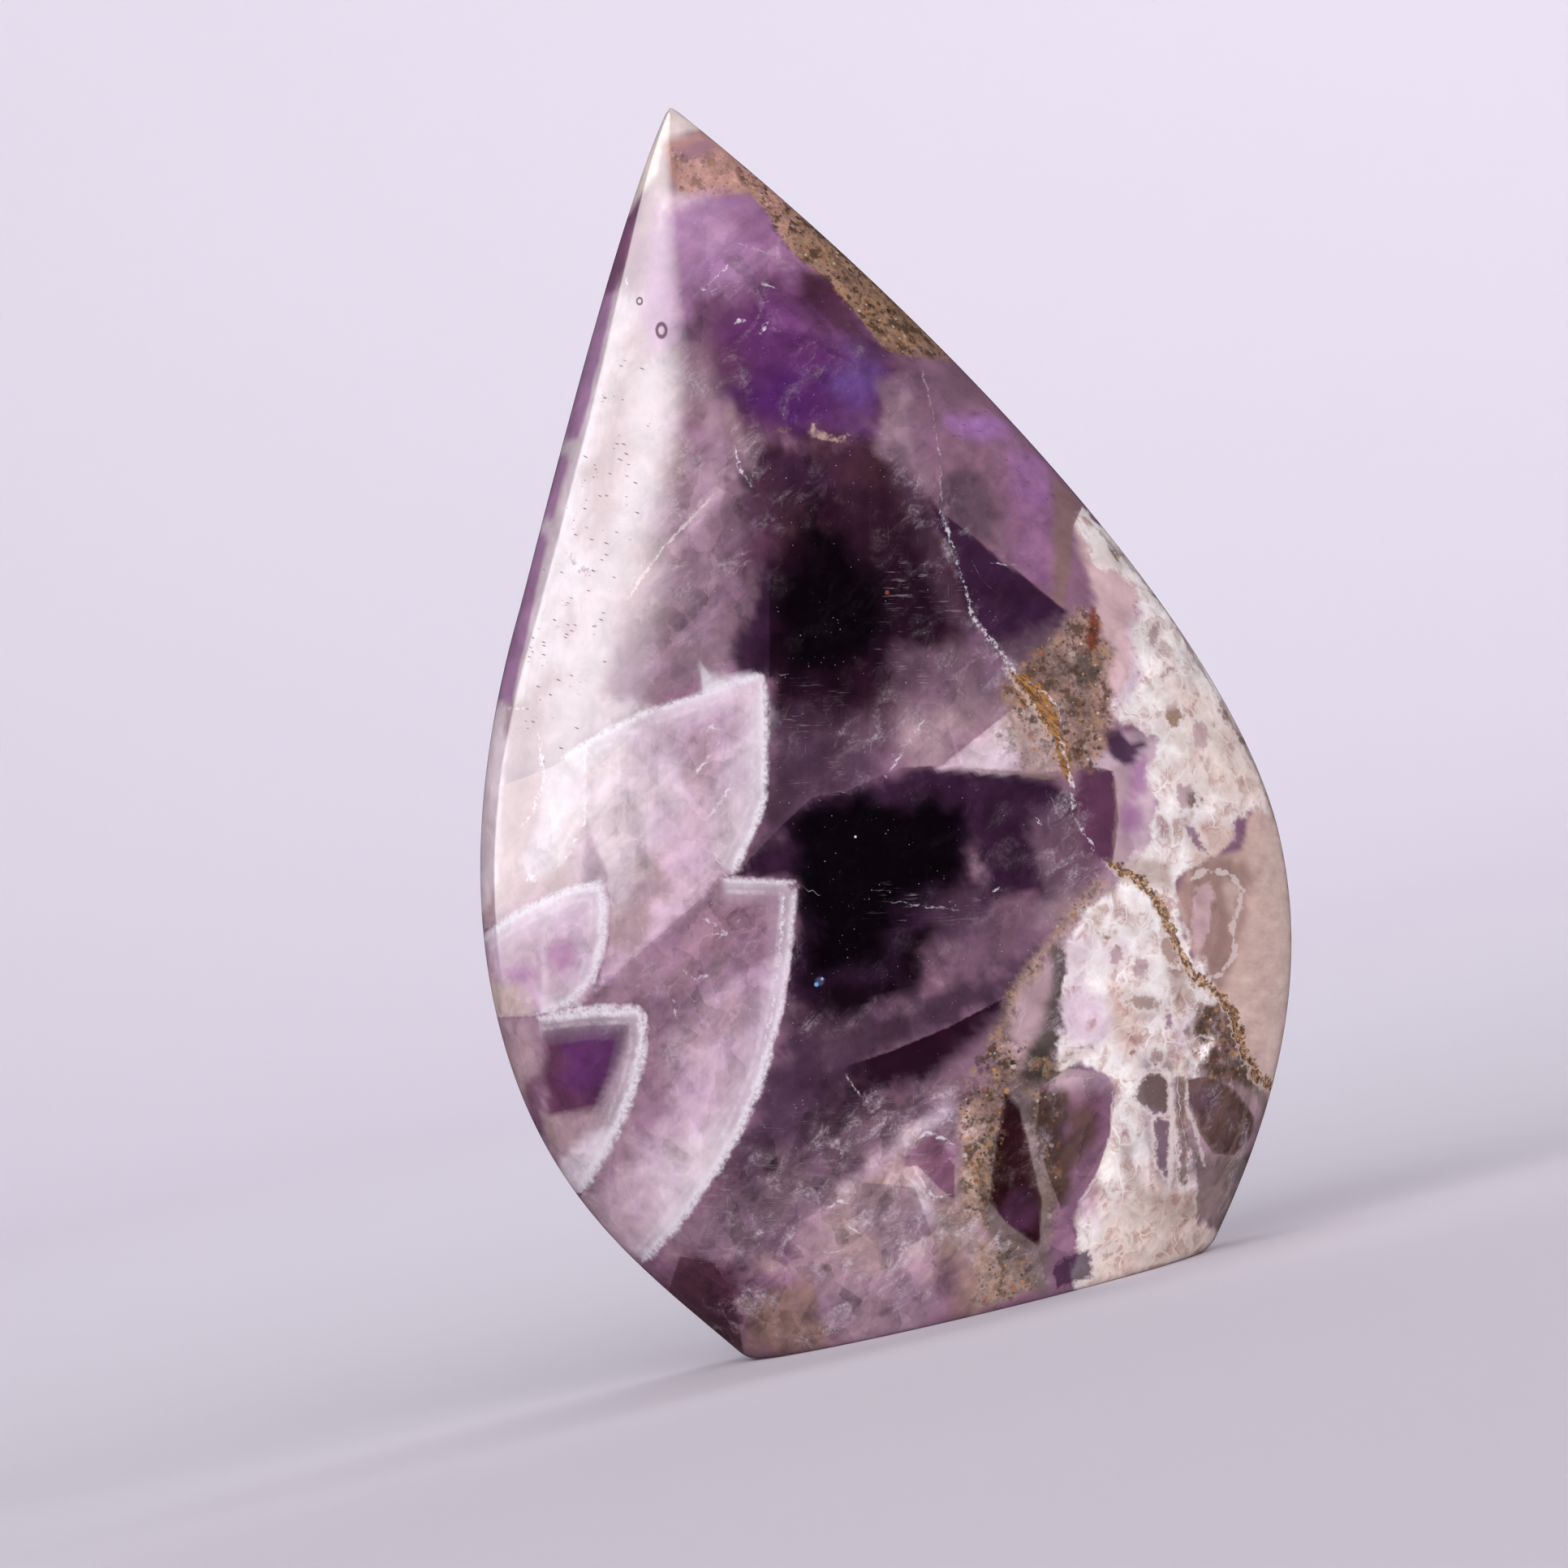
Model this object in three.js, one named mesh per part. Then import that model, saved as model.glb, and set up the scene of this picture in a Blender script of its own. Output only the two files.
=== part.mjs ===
// A polished flame of banded amethyst: one stone, ground to a pointed pebble and cut flat so that it stands.
// Millimetres, +Z up, standing on Z 0. The broad face looks along -Y, with +X to its right.
import * as THREE from "three";
import { mergeVertices } from "three/addons/utils/BufferGeometryUtils.js";

// The outline, as seen from the front: each side climbs from the base out to the belly, then in to the tip.
// The left side is nearly straight above its shoulder, and the right side bows all the way.
const BELLY_Z = 27.2;
const HALF_WIDTH = 27.93;
const TIP = [-1.45, 86.2];
const SHOULDER = [-19.92, 54.3];
const RIGHT_FOOT = 16.46;
const LEFT_FOOT = -16.42;
const RIGHT_SIDE = [
  curve([RIGHT_FOOT, 0], [21.4, 6.0], [HALF_WIDTH, 15.3], [HALF_WIDTH, BELLY_Z]),
  curve([HALF_WIDTH, BELLY_Z], [HALF_WIDTH, 43.2], [10.7, 70.8], TIP),
];
const LEFT_SIDE = [
  curve([LEFT_FOOT, 0], [-21.9, 7.6], [-HALF_WIDTH, 14.1], [-HALF_WIDTH, BELLY_Z]),
  curve([-HALF_WIDTH, BELLY_Z], [-HALF_WIDTH, 38.2], [-23.4, 48.1], SHOULDER),
  curve(SHOULDER, [-17.97, 57.8], [-6.8, 79.7], TIP),
];

// How far the domed faces stand from the middle plane at each height, as pairs of height and distance.
const DOME = new THREE.SplineCurve(
  [
    [0, 9.9],
    [12, 11.3],
    [26, 12.0],
    [42, 11.4],
    [56, 10.0],
    [66, 8.1],
    [75, 4.9],
    [82, 1.9],
    [86.2, 0.3],
  ].map(([height, distance]) => new THREE.Vector2(height, distance)),
);
// Each level section is an ellipse drawn out at its two ends, which leaves a soft edge all round the stone.
const EDGE_POWER = 1.2;

// The cut under the stone has a small ground bevel, and the point is rounded off.
const BASE_BEVEL = 0.7;
const TIP_ROUNDING = 0.45;
const TIP_TOP = 86.0;

const AROUND = 80;
const SIDE_RINGS = 44;
const BEVEL_RINGS = 3;
const TIP_RINGS = 3;
const BASE_RINGS = 3;
// The inner rings of the flat base reach this share of its section, short of the bevel.
const BASE_FLAT_SHARE = 0.9;
const RING_CROWDING = 0.12;
const CURVE_STEPS = 300;
const SAME_POINT = 1e-4;

function curve(...points) {
  return new THREE.CubicBezierCurve(...points.map(([x, z]) => new THREE.Vector2(x, z)));
}

// A function that reads the second number of a curve's points where the first has a given value.
function lookUp(points) {
  const sorted = [...points].sort((a, b) => a.x - b.x);
  return (x) => {
    const next = Math.max(1, sorted.findIndex((p) => p.x >= x));
    const [a, b] = [sorted[next - 1], sorted[next]];
    return THREE.MathUtils.lerp(a.y, b.y, (x - a.x) / (b.x - a.x || 1));
  };
}

const byHeight = (side) =>
  lookUp(side.flatMap((part) => part.getPoints(CURVE_STEPS)).map((p) => new THREE.Vector2(p.y, p.x)));
const rightEdge = byHeight(RIGHT_SIDE);
const leftEdge = byHeight(LEFT_SIDE);
const domeAt = lookUp(DOME.getPoints(CURVE_STEPS));

// The levels from the middle of the base up to the tip: x is the share of the full section, y the height.
function levels() {
  const found = [];
  for (let i = 0; i < BASE_RINGS; i++) {
    found.push(new THREE.Vector2((i / BASE_RINGS) * BASE_FLAT_SHARE, 0));
  }
  for (let i = 0; i < BEVEL_RINGS; i++) {
    const turn = ((i / BEVEL_RINGS) * Math.PI) / 2;
    const share = 1 - (BASE_BEVEL * (1 - Math.sin(turn))) / RIGHT_FOOT;
    found.push(new THREE.Vector2(share, BASE_BEVEL * (1 - Math.cos(turn))));
  }
  const shoulder = TIP_TOP - TIP_ROUNDING;
  for (let i = 0; i <= SIDE_RINGS; i++) {
    found.push(new THREE.Vector2(1, THREE.MathUtils.lerp(BASE_BEVEL, shoulder, sideSpacing(i / SIDE_RINGS))));
  }
  for (let i = 1; i <= TIP_RINGS; i++) {
    const turn = ((i / TIP_RINGS) * Math.PI) / 2;
    const share = i === TIP_RINGS ? 0 : Math.cos(turn);
    found.push(new THREE.Vector2(share, shoulder + TIP_ROUNDING * Math.sin(turn)));
  }
  return found;
}

// The rings lie closer together towards the tip, where the stone narrows.
function sideSpacing(t) {
  return t + RING_CROWDING * Math.sin(Math.PI * t);
}

// Carries a point of the unit lathe, whose axis is Y, onto the stone.
function ontoStone(point) {
  const height = point.y;
  const share = Math.hypot(point.x, point.z);
  const [cos, sin] = share > SAME_POINT ? [point.x / share, point.z / share] : [1, 0];
  const halfWidth = (rightEdge(height) - leftEdge(height)) / 2;
  const middle = (rightEdge(height) + leftEdge(height)) / 2;
  const depth = domeAt(height) * Math.sign(sin) * Math.abs(sin) ** EDGE_POWER;
  return new THREE.Vector3(middle + share * halfWidth * cos, -share * depth, height);
}

function flameGeometry() {
  const geometry = new THREE.LatheGeometry(levels(), AROUND);
  const position = geometry.getAttribute("position");
  const point = new THREE.Vector3();
  for (let i = 0; i < position.count; i++) {
    point.fromBufferAttribute(position, i);
    position.setXYZ(i, ...ontoStone(point));
  }
  geometry.deleteAttribute("normal");
  geometry.deleteAttribute("uv");
  const closed = mergeVertices(geometry, SAME_POINT);
  closed.computeVertexNormals();
  return closed;
}

const amethyst = new THREE.MeshStandardMaterial({ color: 0x6f5178, roughness: 0.12, metalness: 0 });
const stone = new THREE.Mesh(flameGeometry(), amethyst);
stone.name = "amethyst_flame";

const part = new THREE.Group();
part.add(stone);
export default part;
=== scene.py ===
import math
from collections import namedtuple

import bmesh
import bpy
import numpy as np
from bpy.props import FloatProperty, FloatVectorProperty, IntProperty, PointerProperty
from mathutils import Matrix, Vector, noise


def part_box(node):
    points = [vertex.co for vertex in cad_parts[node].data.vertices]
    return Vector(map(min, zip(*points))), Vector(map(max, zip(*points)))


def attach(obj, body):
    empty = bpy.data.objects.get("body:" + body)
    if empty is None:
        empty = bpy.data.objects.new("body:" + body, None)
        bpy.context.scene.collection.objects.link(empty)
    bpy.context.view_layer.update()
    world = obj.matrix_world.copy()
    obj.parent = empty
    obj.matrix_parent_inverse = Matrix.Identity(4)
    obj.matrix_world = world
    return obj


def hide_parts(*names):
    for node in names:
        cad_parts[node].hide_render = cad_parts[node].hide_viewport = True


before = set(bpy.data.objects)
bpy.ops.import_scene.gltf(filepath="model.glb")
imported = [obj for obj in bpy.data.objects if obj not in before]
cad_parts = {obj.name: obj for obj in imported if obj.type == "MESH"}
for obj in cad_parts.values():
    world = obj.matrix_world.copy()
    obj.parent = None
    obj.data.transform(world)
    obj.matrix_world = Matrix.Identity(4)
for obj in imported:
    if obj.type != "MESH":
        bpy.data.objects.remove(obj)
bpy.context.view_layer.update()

bl_info = {
    "name": "Polished amethyst flame",
    "version": (1, 0, 0),
    "blender": (4, 5, 0),
    "location": "3D View > Sidebar > Amethyst",
    "description": "Makes a polished flame of banded amethyst and a plain studio stage around it",
    "category": "Add Mesh",
}

NODE = "amethyst_flame"
LOW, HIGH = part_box(NODE)
MM = 0.001

# The camera looks straight at the broad face, rolled over by the lean that the stone has in the picture.
# Pixels are counted in the picture, from its top left corner, and lie on the stone's middle plane, y = 0.
PICTURE_SIDE = 1932
PICTURE_MIDDLE = PICTURE_SIDE / 2
PIXELS_PER_MM = 17.714
PICTURE_CENTRE_X = -4.738
PICTURE_CENTRE_Z = 38.432
ROLL = math.radians(13.5)
CAMERA_DISTANCE = 600.0
SENSOR = 36.0

# How much finer the mesh is on the broad front than on the back.
FRONT_SHARE = 0.66


def shade(red, green, blue):
    """A colour as it shows on a screen, 0 to 255, as the linear values that Blender works in."""
    values = []
    for part in (red, green, blue):
        share = part / 255
        values.append(share / 12.92 if share <= 0.04045 else ((share + 0.055) / 1.055) ** 2.4)
    return tuple(values)


def colour(name, description, red, green, blue):
    """One colour of the stone that a user may change."""
    return FloatVectorProperty(
        name=name, description=description, subtype="COLOR", size=3, min=0, max=1,
        default=shade(red, green, blue),
    )


class StoneColours(bpy.types.PropertyGroup):
    """The stone's own colours, from white quartz to nearly black violet."""

    cap_white: colour("Cap white", "Warm white quartz at the point", 222, 206, 203)
    pale_lilac: colour("Pale lilac", "Milky quartz with a little violet", 200, 173, 186)
    sand: colour("Sand", "Speckled pinkish brown near the point", 181, 139, 133)
    khaki: colour("Khaki", "Brown matrix along the upper right edge", 143, 112, 98)
    olive: colour("Olive", "Greenish brown matrix", 127, 100, 80)
    tan: colour("Tan", "Light brown matrix", 168, 142, 133)
    rust: colour("Rust", "Iron stain", 118, 62, 44)
    amber: colour("Amber", "Brown glassy filling", 158, 116, 76)
    soot: colour("Soot", "Dark green grey mineral", 70, 62, 58)
    lilac: colour("Lilac", "Light clear violet near the point", 180, 135, 178)
    heather: colour("Heather", "Middle violet", 150, 104, 144)
    plum: colour("Plum", "Dark reddish violet", 97, 57, 84)
    vivid: colour("Vivid violet", "The most strongly coloured crystal", 104, 52, 110)
    deep_vivid: colour("Deep vivid violet", "The darkest of the strongly coloured crystal", 78, 34, 94)
    blue_violet: colour("Blue violet", "The bluish glint in the upper crystal", 104, 76, 138)
    # Painted reflection: the brightest violet of the window mirrored on the right flank.
    reflected_orchid: colour("Orchid", "The bright violet glow on the right", 160, 114, 168)
    wine: colour("Wine", "Dark red brown crystal", 70, 40, 52)
    night: colour("Night", "Very dark violet crystal", 38, 15, 32)
    black_violet: colour("Black violet", "The heart of the dark crystal", 7, 2, 7)
    aubergine: colour("Aubergine", "Dark violet patches", 60, 32, 60)
    dusk: colour("Dusk", "Dark crystal under a thin haze", 82, 58, 78)
    smoke: colour("Smoke", "Grey violet haze", 112, 86, 102)
    mauve: colour("Mauve", "Even grey violet", 135, 100, 122)
    dove: colour("Dove", "Brownish lilac, half milky", 150, 122, 138)
    haze: colour("Haze", "Pale grey pink haze", 168, 141, 148)
    rose_milk: colour("Rose milk", "Milky quartz, a little violet", 199, 171, 191)
    milk: colour("Milk", "Milky quartz", 211, 196, 205)
    frost: colour("Frost", "The white outlines of the chevrons", 232, 226, 234)
    dusty_pink: colour("Dusty pink", "Grey pink quartz beside the lace", 194, 164, 168)
    lace: colour("Lace", "White lace quartz", 226, 213, 211)
    cream: colour("Cream", "Yellowish lace quartz", 212, 190, 180)
    peach: colour("Peach", "Orange tinted lace quartz", 200, 168, 158)
    agate: colour("Agate", "Taupe chalcedony at the right edge", 190, 162, 153)
    umber: colour("Umber", "Brown vein", 130, 104, 98)
    bark: colour("Bark", "Dark brown crack filling", 100, 76, 70)
    grey_green: colour("Grey green", "Greenish grey margins", 106, 92, 90)
    shard: colour("Shard", "Dark red shard at the base", 46, 18, 24)


class StoneSettings(bpy.types.PropertyGroup):
    """The form and the finish of the polished stone."""

    around: IntProperty(name="Points around", description="Points in each level ring", default=448, min=64)
    levels: IntProperty(name="Levels", description="Rings from the base to the point", default=222, min=32)
    base_bevel: FloatProperty(
        name="Base bevel", description="Ground edge of the flat base", default=0.7 * MM, unit="LENGTH"
    )
    tip_rounding: FloatProperty(
        name="Point rounding", description="Height of the rounded point", default=0.45 * MM, unit="LENGTH"
    )
    waviness: FloatProperty(
        name="Waviness", description="Unevenness left by hand polishing", default=0.05 * MM, unit="LENGTH"
    )
    crack_depth: FloatProperty(
        name="Crack depth", description="Depth of the open cracks", default=0.22 * MM, unit="LENGTH"
    )
    polish: FloatProperty(
        name="Polish", description="Roughness of the polished quartz", default=0.085, subtype="FACTOR",
        min=0, max=1,
    )
    glass: FloatProperty(
        name="Refraction", description="Index of refraction of quartz", default=1.544, min=1, max=2.5
    )


class StageSettings(bpy.types.PropertyGroup):
    """The pale floor, the soft lights and the camera."""

    floor_colour: colour("Floor colour", "Pale lavender of the floor and the backdrop", 226, 221, 233)
    key_power: FloatProperty(
        name="Key light", description="Soft light from the upper left", default=1.0, min=0
    )
    fill_power: FloatProperty(
        name="Fill light", description="Soft light from the front right", default=1.0, min=0
    )
    glow_power: FloatProperty(
        name="Window reflection", description="Brightness of the panel mirrored on the left flank",
        default=1.0, min=0,
    )


# Shapes on the picture. Each answers how far inside it a point lies, in pixels, and below zero outside.
Shape = namedtuple("Shape", "reach measure")


def area(*corners):
    """A closed outline through these pixels."""
    points = np.array(corners, float)

    def measure(across, down):
        nearest = np.full(across.shape, np.inf)
        inside = np.zeros(across.shape, bool)
        for (x0, y0), (x1, y1) in zip(points, np.roll(points, -1, axis=0)):
            nearest = np.minimum(nearest, distance_to_piece(across, down, x0, y0, x1, y1)[0])
            crosses = (y0 > down) != (y1 > down)
            level_x = x0 + (down - y0) * (x1 - x0) / (y1 - y0 if y1 != y0 else 1)
            inside ^= crosses & (across < level_x)
        return np.where(inside, nearest, -nearest)

    return Shape((points.min(0), points.max(0)), measure)


def oval(x, y, half_width, half_height, turn=0):
    """An ellipse about a pixel, turned clockwise by some degrees."""
    cos, sin = math.cos(math.radians(turn)), math.sin(math.radians(turn))
    size = max(half_width, half_height)

    def measure(across, down):
        along = ((across - x) * cos + (down - y) * sin) / half_width
        up = ((down - y) * cos - (across - x) * sin) / half_height
        return (1 - np.hypot(along, up)) * min(half_width, half_height)

    return Shape((np.array([x - size, y - size]), np.array([x + size, y + size])), measure)


def grown(shape, by=10):
    """The same shape, larger all round by some pixels."""
    low, high = shape.reach
    return Shape((low - by, high + by), lambda across, down: shape.measure(across, down) + by)


def line(width, *route):
    """A stroke of some width through these pixels."""
    points = np.array(route, float)

    def measure(across, down):
        nearest = np.full(across.shape, np.inf)
        for (x0, y0), (x1, y1) in zip(points[:-1], points[1:]):
            nearest = np.minimum(nearest, distance_to_piece(across, down, x0, y0, x1, y1)[0])
        return width / 2 - nearest

    return Shape((points.min(0) - width, points.max(0) + width), measure)


def distance_to_piece(across, down, x0, y0, x1, y1):
    """Distance to a straight piece, the share of the way along it, and the distance to its left."""
    run, drop = x1 - x0, y1 - y0
    length = math.hypot(run, drop)
    share = np.clip(((across - x0) * run + (down - y0) * drop) / length**2, 0, 1)
    distance = np.hypot(across - x0 - share * run, down - y0 - share * drop)
    side = ((across - x0) * drop - (down - y0) * run) / length
    return distance, share, side


# A patch of colour: its name in the palette, how far its edge fades in pixels, how fully it covers, its
# shape, and how much lighter or darker than the palette it is. The tables hold patches as plain rows, each
# laid over those before it.
Patch = namedtuple("Patch", "colour fade cover shape light", defaults=(1.0,))

# Shapes that both a colour and a texture, or two textures, fill.
BROWN_VEIN = area(
    (1335, 745), (1368, 800), (1372, 900), (1352, 952), (1312, 952), (1268, 905), (1234, 855), (1282, 798))
SPECKLED_COLUMN = area(
    (1225, 1262), (1262, 1290), (1240, 1360), (1225, 1470), (1218, 1512), (1186, 1492), (1180, 1400),
    (1190, 1330))
COLUMN_FOOT = area((1200, 1545), (1240, 1520), (1282, 1552), (1275, 1595), (1200, 1608))
FOOT_MARGIN = area((1440, 1290), (1520, 1240), (1560, 1350), (1540, 1450), (1480, 1530), (1440, 1400))
DARK_BLOCK_HAZE = area((985, 1000), (1200, 960), (1330, 980), (1330, 1100), (1100, 1300), (985, 1290))
LEFT_MIST = area((840, 480), (960, 520), (950, 700), (800, 850), (760, 760))
COLUMN_THREAD = [(1352, 1092), (1310, 1140), (1280, 1180), (1250, 1222), (1228, 1282)]

GROUND = [
    # The left flank, which mostly lies under the window's reflection. Its brightest milk bands are partly
    # painted highlight.
    ("haze", 60, 1.0, area((700, 100), (850, 120), (850, 560), (800, 760), (740, 900), (560, 1000))),
    ("lilac", 24, 0.8, area((800, 235), (834, 250), (838, 420), (800, 440), (790, 330)), 0.92),
    ("mauve", 24, 0.8, area((775, 250), (800, 240), (800, 340), (750, 400), (740, 370)), 1.15),
    # Painted highlight over the stone's milky tone: bright bands along the flank where the window's
    # reflection is strongest.
    ("milk", 50, 0.75, line(
        60, (812, 470), (798, 560), (776, 640), (742, 720), (720, 820), (706, 900), (696, 960)), 0.84),
    ("milk", 40, 0.8, line(44, (752, 370), (734, 460), (710, 550), (694, 650), (682, 740), (664, 830))),
    # Painted highlight: a thin bright band near the rim, where the window's reflection doesn't reach.
    ("milk", 5, 0.85, line(13, (736, 485), (704, 590), (674, 700), (653, 790), (638, 859)), 1.04),
    ("lilac", 5, 0.95, area(
        (798, 225), (774, 300), (755, 365), (740, 430), (724, 500), (709, 545), (695, 590), (678, 650),
        (661, 720), (644, 800), (629, 868), (590, 868), (640, 720), (690, 520), (740, 330),
        (780, 205)), 0.84),
    ("plum", 12, 0.8, line(22, (790, 235), (768, 300), (748, 352)), 1.3),
    # Painted highlight: the bright foot of the window's reflection above the milky chevron.
    ("milk", 30, 0.8, oval(782, 880, 30, 26)),
    ("milk", 8, 0.9, oval(702, 552, 16, 12)),
    ("milk", 8, 0.8, oval(676, 650, 12, 12)),
    ("milk", 12, 1.0, area((590, 872), (626, 870), (620, 960), (612, 1040), (590, 1060), (580, 940)), 1.1),
    # The point, with its white cap and the speckled sand below it.
    ("cap_white", 10, 1.0, area((780, 110), (840, 110), (885, 155), (818, 174), (812, 215), (775, 262))),
    ("sand", 8, 1.0, area(
        (815, 176), (862, 160), (905, 182), (955, 222), (920, 240), (880, 243), (838, 238), (822, 215))),
    ("mauve", 8, 0.7, area((828, 184), (868, 168), (888, 183), (862, 198), (838, 202)), 1.15),
    ("olive", 5, 0.6, oval(838, 199, 9, 6)),
    ("pale_lilac", 16, 1.0, area((805, 232), (838, 238), (880, 243), (872, 262), (838, 264), (810, 285))),
    # The upper crystal, from lilac down to vivid violet.
    ("lilac", 26, 1.0, area(
        (815, 262), (905, 236), (950, 262), (1000, 330), (975, 372), (900, 392), (840, 430),
        (828, 340)), 0.75),
    ("pale_lilac", 50, 0.2, oval(868, 282, 40, 22)),
    ("heather", 50, 0.9, area(
        (905, 240), (940, 262), (1000, 325), (1010, 380), (950, 365), (915, 310)), 0.86),
    ("plum", 44, 0.7, area((850, 360), (950, 330), (960, 380), (870, 415), (835, 420)), 1.1),
    ("lilac", 16, 0.5, area((910, 296), (960, 312), (950, 332), (905, 315)), 0.9),
    ("plum", 66, 1.0, area(
        (850, 420), (905, 375), (985, 345), (1040, 350), (1100, 430), (1140, 450), (1130, 530), (1040, 550),
        (930, 545), (862, 470)), 0.8),
    ("smoke", 60, 0.7, area((840, 405), (875, 390), (880, 440), (862, 480), (842, 455)), 0.9),
    ("vivid", 66, 0.95, oval(990, 435, 100, 66, 20), 0.86),
    ("deep_vivid", 50, 0.95, oval(972, 492, 88, 38, 5), 0.9),
    ("heather", 44, 0.4, oval(1035, 408, 50, 16, 20)),
    ("blue_violet", 60, 0.6, oval(1058, 468, 30, 46)),
    ("wine", 30, 0.8, area(
        (985, 328), (1010, 345), (1055, 390), (1092, 436), (1060, 424), (1020, 398), (990, 368)), 0.9),
    # Between the reflection and the dark heart: half milky, brownish.
    ("dove", 50, 1.0, area(
        (862, 430), (880, 470), (905, 540), (930, 560), (900, 600), (862, 650), (825, 720), (800, 760),
        (832, 600), (858, 500))),
    ("rose_milk", 40, 0.2, area((850, 570), (890, 570), (885, 600), (850, 640), (815, 610)), 0.9),
    ("dove", 24, 1.0, area(
        (905, 592), (935, 560), (945, 620), (938, 700), (935, 770), (905, 815), (850, 845), (790, 865),
        (745, 850), (775, 775), (860, 652)), 0.9),
    ("smoke", 30, 0.9, area(
        (880, 640), (925, 580), (945, 640), (940, 760), (925, 805), (890, 790), (884, 720)), 1.05),
    ("frost", 6, 0.75, area(
        (862, 818), (878, 834), (894, 831), (942, 826), (942, 838), (902, 850), (866, 858)), 0.85),
    ("rose_milk", 10, 0.3, line(9, (904, 584), (870, 625), (838, 670), (805, 715), (762, 768)), 1.05),
    ("smoke", 40, 0.8, oval(922, 555, 26, 26)),
    ("haze", 12, 0.5, line(12, (902, 500), (908, 540), (932, 592)), 0.9),
    # The dark heart.
    ("wine", 40, 1.0, area(
        (932, 552), (1000, 538), (1085, 548), (1135, 600), (1165, 650), (1205, 760), (1185, 835),
        (1110, 880), (1000, 920), (948, 910), (942, 800), (930, 740), (940, 690), (936, 620)), 0.85),
    ("aubergine", 50, 0.7, oval(985, 585, 50, 34), 1.05),
    ("plum", 24, 0.9, area((915, 590), (962, 580), (960, 700), (915, 705)), 0.6),
    ("wine", 40, 0.8, area((1090, 610), (1150, 640), (1200, 770), (1150, 790), (1100, 700)), 0.8),
    ("night", 50, 0.9, area(
        (1000, 605), (1090, 605), (1165, 700), (1160, 760), (1060, 760), (1000, 690)), 1.1),
    ("night", 50, 1.0, area(
        (950, 690), (995, 640), (1060, 700), (1160, 690), (1195, 770), (1170, 815), (1100, 850), (1060, 880),
        (960, 900), (945, 800)), 0.9),
    ("black_violet", 50, 1.0, area(
        (956, 720), (1000, 630), (1040, 660), (1085, 725), (1100, 780), (1050, 818), (1010, 830), (955, 838),
        (944, 790))),
    ("dusk", 24, 0.6, line(22, (1150, 690), (1180, 760), (1215, 800))),
    ("aubergine", 24, 0.95, area(
        (905, 790), (925, 735), (944, 690), (962, 740), (955, 832), (915, 828)), 0.62),
    ("smoke", 16, 0.9, area(
        (1085, 470), (1128, 447), (1152, 560), (1160, 622), (1138, 606), (1082, 556)), 1.4),
    ("dove", 20, 0.85, area((1088, 500), (1112, 490), (1130, 560), (1120, 580), (1088, 545))),
    ("dusk", 24, 0.6, line(26, (1105, 560), (1132, 630), (1150, 670)), 0.9),
    # The haze between the heart and the block below it.
    ("dusk", 60, 1.0, area(
        (940, 880), (1060, 892), (1110, 895), (1060, 965), (1000, 1000), (930, 1060), (940, 985)), 0.74),
    ("aubergine", 40, 0.6, oval(1055, 950, 56, 30)),
    ("smoke", 60, 0.4, area(
        (1020, 935), (1100, 860), (1170, 830), (1200, 850), (1110, 930), (1050, 945), (980, 985)), 0.9),
    ("haze", 50, 0.9, area(
        (1120, 880), (1180, 845), (1240, 850), (1160, 945), (1130, 944), (1115, 925)), 0.95),
    ("smoke", 40, 0.8, area((1150, 790), (1215, 795), (1262, 848), (1180, 885), (1135, 855)), 0.95),
    ("smoke", 30, 0.6, area((1105, 795), (1160, 785), (1180, 860), (1110, 870))),
    # Right of the heart: the deep violet wedge and its haze.
    ("aubergine", 8, 1.0, area(
        (1148, 622), (1235, 688), (1314, 752), (1302, 800), (1262, 815), (1225, 802), (1195, 752),
        (1168, 690)), 0.8),
    ("smoke", 22, 0.8, area(
        (1240, 785), (1300, 762), (1318, 790), (1282, 832), (1240, 832), (1225, 808)), 0.85),
    # The brown vein right of the middle, and the grey pink quartz beyond it.
    ("dusty_pink", 18, 1.0, area(
        (1318, 620), (1345, 650), (1395, 690), (1425, 720), (1405, 800), (1388, 845), (1372, 905),
        (1350, 905), (1345, 742), (1328, 680)), 1.12),
    ("umber", 14, 1.0, BROWN_VEIN, 1.3),
    ("bark", 14, 0.7, oval(1288, 815, 26, 20, -30)),
    ("tan", 14, 0.7, area((1268, 872), (1290, 880), (1316, 948), (1280, 935))),
    ("umber", 20, 0.6, oval(1330, 900, 30, 36)),
    ("soot", 10, 0.5, oval(1306, 836, 10, 16, 20)),
    ("soot", 10, 0.2, oval(1340, 870, 8, 20)),
    ("rust", 5, 0.8, area((1348, 750), (1358, 770), (1350, 802), (1338, 802), (1342, 770))),
    ("soot", 8, 0.8, oval(1340, 824, 18, 25)),
    ("pale_lilac", 16, 1.0, area(
        (1345, 935), (1385, 900), (1440, 905), (1430, 980), (1420, 1060), (1372, 1080))),
    ("haze", 12, 0.7, area((1370, 945), (1392, 945), (1394, 1060), (1372, 1070)), 0.95),
    ("heather", 16, 0.8, area((1392, 940), (1415, 925), (1412, 980), (1395, 985)), 1.15),
    ("aubergine", 8, 0.95, area(
        (1358, 905), (1378, 898), (1392, 912), (1422, 906), (1402, 930), (1396, 944), (1366, 932)), 1.1),
    ("heather", 18, 0.9, oval(1393, 1010, 15, 22, 10)),
    # Below the dark block.
    ("night", 46, 1.0, area(
        (985, 1095), (1100, 1110), (1200, 1090), (1225, 1110), (1165, 1165), (1130, 1225), (1060, 1265),
        (1000, 1285), (975, 1230)), 0.4),
    ("mauve", 30, 0.9, area(
        (1205, 1105), (1300, 1100), (1350, 1078), (1305, 1142), (1250, 1185), (1175, 1205),
        (1195, 1140)), 0.56),
    ("haze", 24, 0.6, oval(1302, 1118, 36, 22, -45), 0.85),
    ("dusk", 30, 1.0, area(
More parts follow.
